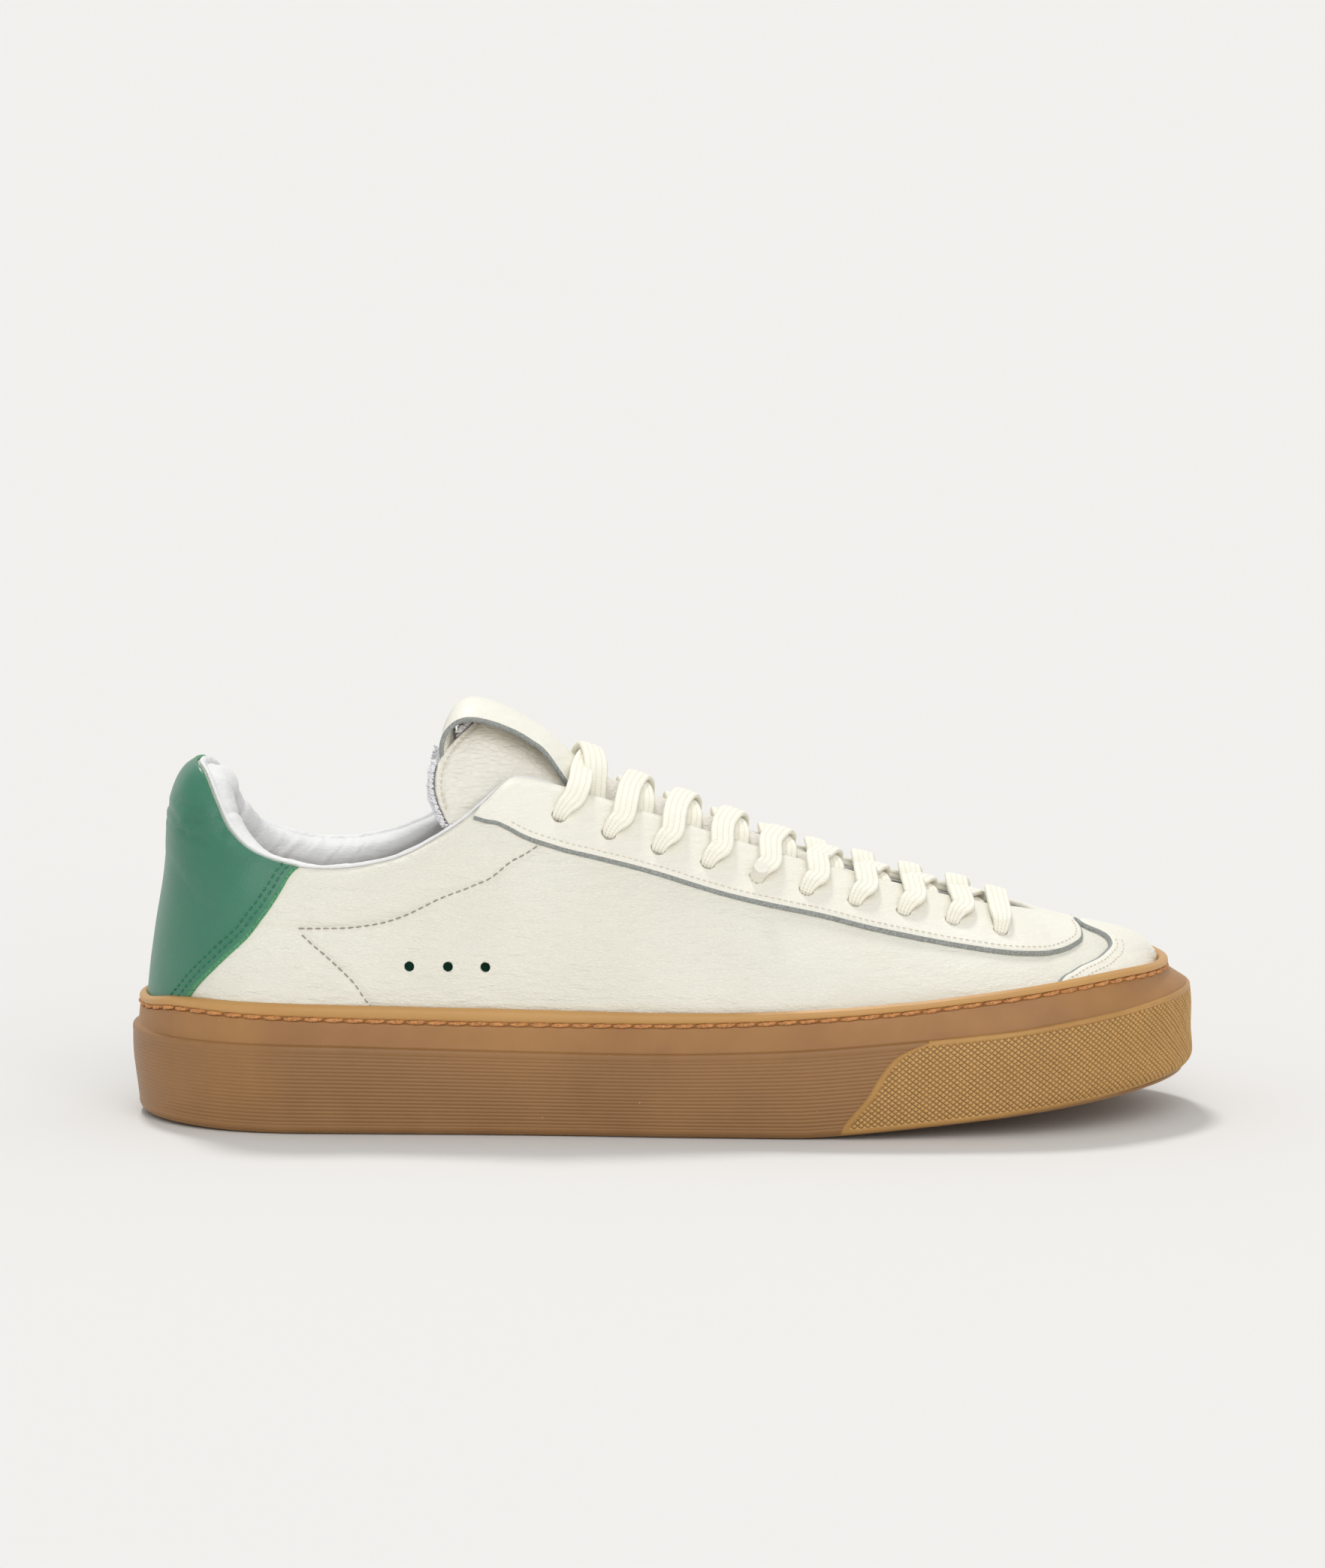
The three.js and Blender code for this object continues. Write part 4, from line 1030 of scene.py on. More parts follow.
pad_line = through([0, 0.64], [45.2, 0.643], [69.2, 0.643], [87.8, 0.66], [103.2, 0.655], [110, 0.693])
pad_swell = through([0, 0.5], [28, 0.9], [42, 1.3], [62, 1.6], [88, 1.3], [104, 0.5], [112, 0])


def bulge(angle, v):
    """How far the padding pushes the leather out above the collar's stitch line."""
    x = station(angle)
    low = pad_line(x)
    t = np.clip((v - low) / (1 - low), 0, 1)
    roll = 0.45 * smooth(0.9, 1.0, t) * smooth(112, 96, x)
    return pad_swell(x) * np.sin(np.pi * t**0.75) ** 0.9 - roll


foot_flare = through([0, 1.7], [40, 1.5], [70, 0.9], [220, 0.9], [262, 1.6], [300, 1.75])


def surface(angle, side, v, off=0.0):
    """The outer leather's face, with its padding and its foot pressed out to the rim, and off more."""
    pressed = foot_flare(station(angle)) * smooth(0.62, 0.12, v)
    return wall(angle, side, v, np.asarray(off) + bulge(angle, v) + pressed)


def near(points, line):
    """Distances, in mm, from points to a line that is drawn with close points."""
    flat = points.reshape(-1, 3)
    best = np.full(len(flat), 1e9)
    for begin in range(0, len(flat), 4000):
        part = flat[begin:begin + 4000]
        gap = ((part[:, None] - line[None]) ** 2).sum(-1)
        best[begin:begin + 4000] = np.sqrt(gap.min(1))
    return best.reshape(points.shape[:-1])


def line_on(side, marks, step):
    """A smooth line on the wall through (station, v) marks, as even angles and v."""
    marks = catmull(np.array([(float(angle_at(x)), v) for x, v in marks]), 60 * len(marks))
    marks[:, 1] = np.clip(marks[:, 1], 0, 1)
    points = wall(marks[:, 0], side, marks[:, 1])
    run = run_of(points)
    at = np.linspace(0, run[-1], int(run[-1] / step) + 2)
    return tuple(read_at(at, run, marks).T)


def shifted(angle, side, v, far, towards):
    """The line moved by far mm across the wall, to the side where the point `towards` lies."""
    step = 2e-3
    here = wall(angle, side, v)
    rear, front = np.maximum(angle - step, 0), np.minimum(angle + step, np.pi)
    by_angle = (wall(front, side, v) - wall(rear, side, v)) / (front - rear)[:, None]
    low, high = np.maximum(v - 0.01, 0), np.minimum(v + 0.01, 1)
    by_v = (wall(angle, side, high) - wall(angle, side, low)) / (high - low)[:, None]
    along = unit(np.gradient(here, axis=0))
    aim = unit(np.cross(wall_normal(angle, side, v), along))
    aim = aim * np.sign(((towards - here) * aim).sum(-1)).sum()
    aim = unit(aim)
    aa, vv, av = (by_angle**2).sum(-1), (by_v**2).sum(-1), (by_angle * by_v).sum(-1)
    ga, gv = (by_angle * aim).sum(-1), (by_v * aim).sum(-1)
    det = np.maximum(aa * vv - av * av, 1e-3 * aa * vv + 1e-9)
    return (
        np.clip(angle + far * (ga * vv - gv * av) / det, 0, np.pi),
        np.clip(v + far * (gv * aa - ga * av) / det, 0, 1),
    )


OVERLAY_THICK = 1.55
BORDER = [(0, 0.1), (0.08, 0.5), (0.3, 0.85), (0.6, 1.12), (0.85, 1.3), (1.15, 1.46), (2.0, OVERLAY_THICK)]


def patch(side, edge, target, rows, relief, thick):
    """The outer and inner grid of an overlay from its cut edge to a target line.

    Both lines are (angle, v) arrays. BORDER's pairs round the edge off: a distance in from the
    cut edge, and the height there for an overlay of the usual thickness.
    """
    angle, v = edge
    goal = wall(target[0], side, target[1])
    angles, heights, offs = [], [], []
    for far, off in BORDER:
        a, h = shifted(angle, side, v, far, goal) if far else (angle, v)
        angles.append(a)
        heights.append(h)
        offs.append(off * thick / OVERLAY_THICK)
    for share in np.linspace(0, 1, rows + 1)[1:]:
        angles.append(mix(angles[len(BORDER) - 1], target[0], share))
        heights.append(mix(heights[len(BORDER) - 1], target[1], share))
        offs.append(thick)
    a, h = np.stack(angles, 1), np.stack(heights, 1)
    h[0] = 0 if v[0] < 1e-3 else h[0]
    h[-1] = 1 if v[-1] > 0.999 else h[-1]
    off = np.array(offs)[None, :] + 0 * a
    base = surface(a, side, h)
    off = off + relief(base, a, h) * smooth(0, 2.0, np.arange(off.shape[1]) / 3.0)[None, :]
    return surface(a, side, h, off), surface(a, side, h, 0.08)


def seam(side, angle, v, off, pitch, radius):
    """A row of stitches on the wall: each one rises from its hole, lies flat and dives again."""
    gap = 0.3
    track = surface(angle, side, v, off)
    out = wall_normal(angle, side, v)
    run = run_of(track)
    count = max(1, round(run[-1] / pitch))
    pitch = run[-1] / count
    at = np.linspace(0, 1, 9)
    parts = []
    for k in range(count):
        place_on = (k + gap / 2 + (1 - gap) * at) * pitch
        up = unit(read_at(place_on, run, out))
        lift = (radius * 1.5) * np.sin(np.pi * at) ** 0.6 - radius * 0.9
        size = radius * (0.35 + 0.65 * np.sin(np.pi * np.clip(at, 0.03, 0.97)) ** 0.5)
        parts.append(tube(read_at(place_on, run, track) + up * lift[:, None], size, 6, up[4]))
    return bundled(parts)


PAD_SEAM = [(45.2, 0.643), (53.3, 0.643), (61.4, 0.638), (69.2, 0.643), (76.6, 0.656), (87.8, 0.684),
            (96.5, 0.672), (103.2, 0.66), (110, 0.693), (115.3, 0.744)]
SLANT_SEAM = [(46.5, 0.609), (54.8, 0.466), (62.7, 0.31), (66.4, 0.206), (69.4, 0.134)]
EYESTAY_EDGE = [(96.5, 0.965), (102.5, 0.869), (109.2, 0.774), (120.7, 0.734), (131.6, 0.724),
                (147.2, 0.714), (169.2, 0.683), (194.6, 0.673), (210, 0.643), (226.1, 0.613),
                (241.8, 0.578), (258.7, 0.543), (265.5, 0.538), (271.3, 0.593), (275.3, 0.668),
                (276.6, 0.754), (277.1, 0.86), (277.05, 0.94), (277, 1)]
TOE_EDGE = [(250, 0), (254, 0.1), (258.5, 0.2), (266, 0.352), (268.9, 0.387), (272.6, 0.437),
            (275.7, 0.467), (279.4, 0.513), (282.5, 0.583), (284, 0.633), (284.3, 0.673),
            (283.7, 0.735), (282.1, 0.785), (279.9, 0.825), (278.1, 0.875), (277.2, 0.94), (277, 1)]
HEEL_EDGE = [(8, 0), (13, 0.111), (16.4, 0.211), (20.2, 0.312), (23.9, 0.407), (29.2, 0.533),
             (32.6, 0.638), (36.1, 0.749), (39, 0.879), (39.5, 1)]
HEEL_CREASES = [
    [(15.3, 89.7), (19, 88.2), (22.2, 87.3), (26.5, 86.3)], [(12.5, 87), (15.3, 84.5)],
    [(18.4, 85.1), (24, 84.2), (28.4, 81.3)], [(12.5, 83.5), (17.8, 81.3)], [(19.7, 80.7), (23.4, 79.5)],
]


def quarter_relief(points, angle, v, lines):
    """Needle holes pull the leather down along a seam, and it wrinkles beside them."""
    x = station(angle)
    depth = np.zeros(points.shape[:-1])
    for line in lines:
        away = near(points, line)
        depth -= 0.42 * bump(away, 0.9) + 0.12 * bump(away, 2.6)
        depth += 0.2 * bump(away - 3.0, 2.6) * (folds(points, (3.2, 30, 1.5), 2) - 0.5)
    low = smooth(0.42, 0.05, v) * smooth(125, 190, x)
    depth += 0.34 * low * (folds(points, (13, 60, 2.3), 5) - 0.6)
    depth += 0.30 * smooth(0.62, 0.3, v) * bump(x - 62, 40) * (folds(points, (15, 60, 4.5), 8) - 0.6)
    depth += 0.30 * ripple(points, 17, 4) + 0.12 * ripple(points, 6, 1)
    return depth


def cutter(places, radius):
    """Rods through the wall at (station, v, side) places, as one mesh to cut with."""
    spokes = 20
    corners = np.arange(spokes)
    verts, faces = [], []
    for x, v, side in places:
        angle = angle_at(x)
        centre = surface(angle, side, v).reshape(3)
        out = wall_normal(angle[None], side, np.array([v]))[0]
        path = centre + np.linspace(-6, 6, 3)[:, None] * out
        points, quads = tube(path, radius, spokes, np.array([0.13, 0.11, 0.98]))
        ends = [corners[::-1], len(points) - spokes + corners]
        faces.extend([tuple(int(c) + len(verts) for c in face) for face in [*quads, *ends]])
        verts.extend(map(tuple, metres(points)))
    mesh = bpy.data.meshes.new("cutter")
    mesh.from_pydata(verts, [], faces)
    mesh.update()
    work = bmesh.new()
    work.from_mesh(mesh)
    bmesh.ops.recalc_face_normals(work, faces=work.faces)
    work.to_mesh(mesh)
    work.free()
    return added("cutter", mesh)


def punch(obj, places, radius):
    """Round holes through the piece at the places."""
    tool = cutter(places, radius)
    cut = obj.modifiers.new("holes", "BOOLEAN")
    cut.operation = "DIFFERENCE"
    cut.solver = "EXACT"
    cut.object = tool
    bpy.context.view_layer.update()
    shape = bpy.data.meshes.new_from_object(obj.evaluated_get(bpy.context.evaluated_depsgraph_get()))
    obj.modifiers.clear()
    obj.data = shape
    bpy.data.objects.remove(tool)


def eyelet_places(side):
    """The (station, v, side) of each eyelet's middle."""
    stations = FIRST_EYELET + EYELET_PITCH * np.arange(EYELETS)
    return [(x, float(eyelet_row(x)), side) for x in stations]


EYELET_RADIUS = 2.1
VENTS = [(79, 0.368), (90, 0.333), (100.5, 0.293)]
VENT_RADIUS = 1.4


def make_quarter(side, name):
    """One side of the upper: padded at the collar, sewn down along two lines, and vented."""
    angle = spaced(0, 288, 0.85, side)[:, None]
    v = np.linspace(0, 1, 62)[None, :]
    angle, v = np.broadcast_arrays(angle, v)
    base = surface(angle, side, v)
    seams = [line_on(side, marks, 0.5) for marks in (PAD_SEAM, SLANT_SEAM)]
    lines = [surface(along, side, high) for along, high in seams]
    lift = quarter_relief(base, angle, v, lines)
    outer = surface(angle, side, v, lift)
    inner = surface(angle, side, v, -1.3)
    points, quads, kind = slab(outer, inner, flip=side == MEDIAL)
    obj = make(name + "_leather", points, quads, [IVORY, LINING], np.where(kind == 2, 1, 0))
    punch(obj, [(x, high, side) for x, high in VENTS], VENT_RADIUS)
    punch(obj, eyelet_places(side), EYELET_RADIUS)
    return place(obj, "shoe", "ivory_leather", name)


def overlay(name, node, slot_name, edge_marks, target_of, rows, finish, edge_finish, relief,
            joins_above, open_head, thick=OVERLAY_THICK):
    """A leather piece laid over the quarters, both sides as one, with its raw edge in its own finish.

    target_of gives the line where each side ends, and joins_above says at which X of the top line
    it meets the other side. Returns the piece and, for each side, its edge and target.
    """
    edge_rows = 4
    parts = []
    lines = {}
    for side in SIDES:
        edge = line_on(side, edge_marks, 0.8)
        target = target_of(*edge)
        outer, inner = patch(side, edge, target, rows, relief, thick)
        opened = joins_above(top_x(target[0]))
        points, quads, kind = slab(outer, inner, open_top=opened, open_head=open_head)
        near_edge = np.tile(np.arange(outer.shape[1] - 1), outer.shape[0] - 1) < edge_rows
        kind[:len(near_edge)] = np.where(near_edge, 1, kind[:len(near_edge)])
        top_start = 2 * len(near_edge) + outer.shape[0] - 1
        kind[top_start:top_start + (~(opened[:-1] & opened[1:])).sum()] = 0
        face = np.cross(points[quads[:, 1]] - points[quads[:, 0]], points[quads[:, 2]] - points[quads[:, 0]])
        front = np.arange(len(near_edge))
        outward = points[:outer.shape[0] * outer.shape[1]] - inner.reshape(-1, 3)
        agree = (face[front] * outward[quads[front, 0]]).sum()
        if agree < 0:
            quads = quads[:, ::-1]
        parts.append((points, quads, kind))
        lines[side] = (edge, target)
    points, quads, kind = joined(parts)
    obj = make(name, points, quads, [finish, edge_finish, LINING], kind, weld=True)
    place(obj, "shoe", slot_name, node)
    return obj, lines


def soft_relief(points, *_):
    """A barely uneven face."""
    return 0.12 * ripple(points, 9, 2) + 0.06 * ripple(points, 3.5, 6)


def eyestay_target(angle, _):
    """The facing ends on the top line: beside its edge, and gathered in front of the throat."""
    x = station(angle)
    turn = 262.0
    run = np.linspace(0, 1, len(x))
    start = run[np.argmax(x > turn)]
    share = np.clip((run - start) / (1 - start), 0, 1)
    aim = np.where(run < start, x, mix(turn, 274.6, share))
    return angle_at(np.maximum(aim, 98.5)), np.ones(len(x))


def make_eyestay():
    """The lace facing. It thins towards the throat and is pressed in round each eyelet."""
    def relief(points, a, h):
        x = station(a)
        lift = soft_relief(points)
        lift = lift - 0.75 * smooth(0.965, 1.0, h) * smooth(258, 254, x)
        for side in SIDES:
            row = [surface(angle_at(x0), side, v0).reshape(3) for x0, v0, _ in eyelet_places(side)]
            lift -= 0.42 * bump(near(points, np.array(row)), 3.4)
        return lift
    obj, lines = overlay(
        "eyestay_leather", "eyestay", "ivory_leather", EYESTAY_EDGE, eyestay_target, rows=26,
        finish=OVERLAY_IVORY, edge_finish=GREY_EDGE, relief=relief,
        joins_above=lambda x: x > THROAT_END + 0.2, open_head=True,
    )
    for side in SIDES:
        punch(obj, eyelet_places(side), EYELET_RADIUS)
    return lines


def all_along(x):
    """The two sides of a piece meet wherever they come to the top line."""
    return x > -1


def make_toe_cap():
    """The toe overlay, from its edge on each side to the line down the toe's tip."""
    return overlay(
        "toe_cap_leather", "toe_cap", "ivory_leather", TOE_EDGE,
        lambda angle, v: (np.full(len(angle), np.pi), v), rows=44, finish=OVERLAY_IVORY,
        edge_finish=GREY_EDGE, relief=soft_relief, joins_above=all_along, open_head=True,
    )[1]


def make_heel_tab():
    """The green heel piece, from its edge on each side to the line down the heel, with creases."""
    def relief(points, *_):
        lift = 0.18 * ripple(points, 12, 2) + 0.05 * ripple(points, 3, 6)
        for crease in HEEL_CREASES:
            xz = catmull(np.array(crease), 40)
            gap = np.sqrt(((points[..., None, [0, 2]] - xz) ** 2).sum(-1)).min(-1)
            lift = lift - 0.4 * bump(gap, 0.7) + 0.14 * bump(gap - 1.6, 1.1)
        return lift
    return overlay(
        "heel_tab_leather", "heel_tab", "green_leather", HEEL_EDGE,
        lambda angle, v: (np.zeros(len(angle)), v), rows=60, finish=GREEN, edge_finish=GREEN_EDGE,
        relief=relief, joins_above=all_along, open_head=False, thick=1.3,
    )[1]


def sewn(name, thread, slot_name, rows):
    """Rows of stitches as one piece. Each row is (side, angle, v, off, pitch, radius)."""
    stitches = bundled([seam(*row) for row in rows])
    return place(make(name, *stitches, [thread]), "shoe", slot_name)


def inset_rows(lines, distances, off, pitch, radius, trim=(0.0, 1.0)):
    """Rows of stitches at distances in from an overlay's edge, for sewn."""
    rows = []
    for side, (edge, target) in lines.items():
        goal = wall(target[0], side, target[1])
        for far in distances:
            a, h = shifted(edge[0], side, edge[1], far, goal)
            keep = slice(int(trim[0] * len(a)), int(trim[1] * len(a)))
            rows.append((side, a[keep], h[keep], off, pitch, radius))
    return rows


make_quarter(LATERAL, "quarter_lateral")
make_quarter(MEDIAL, "quarter_medial")
eyestay_lines = make_eyestay()
toe_lines = make_toe_cap()
heel_lines = make_heel_tab()
sewn("collar_stitching", GREY_THREAD, "ivory_leather", [
    (side, *line_on(side, marks, 0.5), -0.3, 2.3, 0.18)
    for side in SIDES for marks in (PAD_SEAM, SLANT_SEAM)
])
sewn("eyestay_stitching", IVORY_THREAD, "ivory_leather", inset_rows(
    eyestay_lines, [2.3], off=1.56, pitch=1.8, radius=0.17, trim=(0.05, 0.985)))
sewn("toe_cap_stitching", IVORY_THREAD, "ivory_leather", inset_rows(
    toe_lines, [2.2, 4.3], off=1.55, pitch=1.75, radius=0.17, trim=(0.0, 0.8)))
sewn("heel_tab_stitching", GREEN_THREAD, "green_leather", inset_rows(
    heel_lines, [2.4, 4.2], off=1.36, pitch=2.2, radius=0.27))


# ---------------------------------------------------------------- lining, collar and footbed

def collar_frame(angle, side):
    """At the collar's top line: the point, the way up along the leather and the way out."""
    top = surface(angle, side, np.ones_like(angle))
    up = unit(wall(angle, side, 1.0) - wall(angle, side, 0.97))
    return top, up, wall_normal(angle, side, np.ones_like(angle))


COLLAR_FRONT = 119.5


def make_collar():
    """The soft lining: it rolls over the leather's edge like piping and covers the collar's pad."""
    parts = []
    for side in SIDES:
        angle = spaced(0, COLLAR_FRONT, 0.7, side)
        x = station(angle)
        top, up, out = collar_frame(angle, side)
        pad = collar_pad(x) * smooth(110, 90, x)
        full = smooth(COLLAR_FRONT + 1, 100, x)
        roll = mix(0.72, 1.0, full)

        def at(h, off):
            h, off = np.broadcast_to(h, x.shape), np.broadcast_to(off, x.shape)
            return top + up * (h * roll)[:, None] + out * (off * roll)[:, None]

        foot = np.where(x < COLLAR_END, pad_foot(x) + 0.02, mix(0.72, 0.93, smooth(COLLAR_END, 116, x)))
        control = [at(-2.6, -1.6), at(-0.8, -1.35), at(-0.05, -0.75), at(0.35, -0.12), at(0.95, 0.1),
                   at(1.6, -0.25), at(1.85, -0.95), at(1.7, -1.6), at(1.25, -2.1), at(1.25, -2.5)]
        thick = smooth(46, 12, x)
        control += [
            at(1.6 + 0.08 * pad + 1.3 * thick, -2.8 - 0.18 * pad - 1.4 * thick),
            at(1.7 + 0.09 * pad + 1.7 * thick, -3.0 - 0.5 * pad - 2.8 * thick),
            at(0.9 + 0.02 * pad + 1.2 * thick, -3.2 - 0.85 * pad - 3.2 * thick),
            at(-0.6 - 0.2 * pad + 0.2 * thick, -3.3 - 1.1 * pad - 2.4 * thick),
        ]
        for q in (0.4, 0.55, 0.7, 0.85, 1.0):
            v = 1 - (1 - foot) * q**1.3
            swell = pad * np.sin(np.pi * min(1.0, q) ** 0.75) ** 0.8 * 1.12
            control.append(wall(angle, side, v, -3.4 - swell - 0.25 * (1 - full)))
        front = catmull(np.array(control), 74)
        back = [wall(angle, side, foot, -2.5), wall(angle, side, mix(foot, 1, 0.5), -2.3), at(-2.6, -1.6)]
        ring = np.concatenate([front, np.array(back)[:-1]]).transpose(1, 0, 2)
        parts.append(ring)
    parts[0][0] = (parts[0][1] + parts[1][1]) / 2
    columns = np.concatenate([parts[0][::-1], parts[1][1:]])
    n, m = columns.shape[:2]
    roll_row, crest_row, pad_row = 4, 30, 36
    run = run_of(columns[:, crest_row])
    rows = np.arange(m)[None, :]
    soft = smooth(16, 24, rows) * smooth(72, 60, rows)
    level = (0.5 * smooth(12, 26, rows) * smooth(m - 2, m - 8, rows))[..., None]
    for _ in range(60):
        columns[1:-1] += level * ((columns[:-2] + columns[2:]) / 2 - columns[1:-1])
    places = np.stack(np.broadcast_arrays(run[:, None] + 0.12 * rows, 0.10 * rows, 0 * rows), -1)
    ridges = folds(places, (2.1, 3.2, 5.0), 3) * smooth(0.25, 0.75, noise(places, (16, 9, 5), 6))
    normal = unit(np.cross(np.gradient(columns, axis=0), np.gradient(columns, axis=1)))
    inward = columns[:, pad_row] - columns[:, roll_row]
    normal = normal * np.sign((normal[:, pad_row] * inward).sum(-1))[:, None, None]
    lumps = 0.8 * ripple(columns, (9, 9, 9), 2) + 0.35 * ripple(columns, 4, 5)
    step, seam_place = 0.7, 29
    places_from_heel = np.arange(n) - (len(parts[0]) - 1)
    seams = sum(bump((places_from_heel - k * int(seam_place / step)) * step, 0.7) for k in (-1, 1))
    swell = soft * (0.75 * (ridges - 0.45) + lumps) - 0.55 * soft * seams[:, None]
    columns = columns + normal * swell[..., None]
    fine = 0.16 * ripple(columns, 2.2, 7) * smooth(3, 8, rows)
    columns = columns + normal * fine[..., None]
    quads = ring_quads(n, m)[:, [0, 3, 2, 1]]
    points = columns.reshape(-1, 3)
    caps = []
    for end in (0, n - 1):
        base = len(points)
        centre = columns[end].mean(0)
        points = np.concatenate([points, columns[end] * 0.02 + centre * 0.98])
        k = np.arange(m)
        near_ring, far_ring = end * m + k, base + k
        quad = np.stack([near_ring, np.roll(near_ring, -1), np.roll(far_ring, -1), far_ring], -1)
        caps.append(quad if end == 0 else quad[:, ::-1])
    quads = np.concatenate([quads] + caps)
    obj = make("collar_pad", points, quads, [LINING])
    return place(obj, "shoe", "white_lining", "collar_lining", "collar_foam")


def make_side_lining(side, name):
    """The smooth lining between the footbed and the pad, and up to the throat's edge in front."""
    angle = spaced(0, 254, 1.3, side)
    x = station(angle)
    top = np.where(x < COLLAR_END, pad_foot(x) + 0.03, mix(0.73, 0.992, smooth(COLLAR_END, 116, x)))
    v = top[:, None] * np.linspace(0, 1, 34)[None, :]
    a = np.broadcast_to(angle[:, None], v.shape)
    depth = lining_depth(station(a))
    off = -depth - 0.6 + 0.25 * ripple(surface(a, side, v), 12, 3) * smooth(0, 0.1, v)
    inner = wall(a, side, v, off)
    outer = wall(a, side, v, -depth)
    points, quads, _ = slab(outer, inner, flip=side == MEDIAL)
    obj = make(name + "_face", points, quads, [LINING])
    return place(obj, "shoe", "white_lining", name)


def make_vamp_lining():
    """The lining over the toe, both sides as one. It leaves the tongue's foot room to swing."""
    parts = []
    for side in SIDES:
        angle = spaced(THROAT_END + 16, LENGTH, 1.6, side)
        v = np.linspace(0, 1, 26)[None, :]
        a, h = np.broadcast_arrays(angle[:, None], v)
        points, quads, kind = slab(
            wall(a, side, h, -3.3), wall(a, side, h, -4), side == MEDIAL, np.ones(len(angle), bool),
        )
        parts.append((points, quads, kind))
    points, quads, _ = joined(parts)
    obj = make("vamp_lining_face", points, quads, [LINING], weld=True)
    return place(obj, "shoe", "white_lining", "vamp_lining")


def make_footbed():
    """The cushioned footbed: dished at the heel, raised under the arch, with a soft rolled edge."""
    rear, front = 11.2, 287.0
    x = mix(rear, front, (1 - np.cos(np.linspace(0, np.pi, 190))) / 2)
    angle = np.arccos(1 - 2 * (x - rear) / (front - rear))
    where = station(angle)
    gap = through([0, 2.2], [200, 2.4], [240, 4], [300, 6.5])
    inset = rim_inset(where) + RIM_WALL + FOOT_GAP + lining_depth(where) + gap(where) + 0.25
    across = np.sin(np.linspace(-np.pi / 2, np.pi / 2, 74))
    flat = between_edges(angle, inset, across)
    low = board_height(flat[..., 0]) + 0.3
    heel = bump(np.hypot((flat[..., 0] - 42) / 1.5, flat[..., 1]), 24)
    arch = bump(flat[..., 0] - 125, 38) * smooth(0.1, 0.95, across)[None, :]
    edge_x = smooth(0, 0.10, np.minimum(angle, np.pi - angle))[:, None]
    rounded = np.sqrt(np.clip(1 - np.abs(across) ** 14, 0, 1))[None, :] * edge_x**0.5
    tall = 5.7 - 1.5 * heel + 2.2 * arch + 0.7 * np.abs(across)[None, :] ** 4
    tall = tall + 0.25 * ripple(flat, 16, 4) + 0.08 * ripple(flat, 5, 2)
    upper = flat.copy()
    upper[..., 2] = low + 1.2 + (tall - 1.2) * rounded
    under = flat.copy()
    under[..., 2] = low
    points, quads, kind = slab(upper, under)
    obj = make("footbed", points, quads[:, ::-1], [SUEDE, FOAM], np.where(kind == 0, 0, 1))
    return place(obj, "shoe", "terry", "footbed_cover", "footbed_foam")


make_collar()
make_side_lining(LATERAL, "quarter_lining_lateral")
make_side_lining(MEDIAL, "quarter_lining_medial")
make_vamp_lining()
make_footbed()


# ---------------------------------------------------------------- the tongue and its pull loop

TONGUE_BASE = 260
TONGUE_LEATHER = 1.4


def tongue_end(across):
    """The X of the tongue's top edge, which reaches furthest back near its two corners."""
    far_share = np.maximum(0, (np.abs(across) - 0.8) / 0.2)
    return 97 - 10.5 * smooth(0.12, 0.8, np.abs(across)) + 4 * far_share**2


def bare_tongue(x, across):
    """The tongue's face: an arch over the instep, with a swell under the loop."""
    y = across * (tongue_half(x) + 2.0 * smooth(104, 90, x))
    arch = tongue_arch(x) + 0.005 * smooth(106, 90, x)
    crown = tongue_crown(x) + 2.1 * bump(x - 104, 10) * bump(y, 14)
    return np.stack([x, top_axis(x) + y, crown - arch * y * y], -1)


def tongue(x, across, depth=0.0):
    """Points of the tongue's leather face, and under it by depth."""
    x, across, depth = np.broadcast_arrays(*(np.asarray(n, float) for n in (x, across, depth)))
    along = bare_tongue(x + 0.5, across) - bare_tongue(x - 0.5, across)
    aside = bare_tongue(x, across + 0.01) - bare_tongue(x, across - 0.01)
    return bare_tongue(x, across) - unit(np.cross(along, aside)) * depth[..., None]


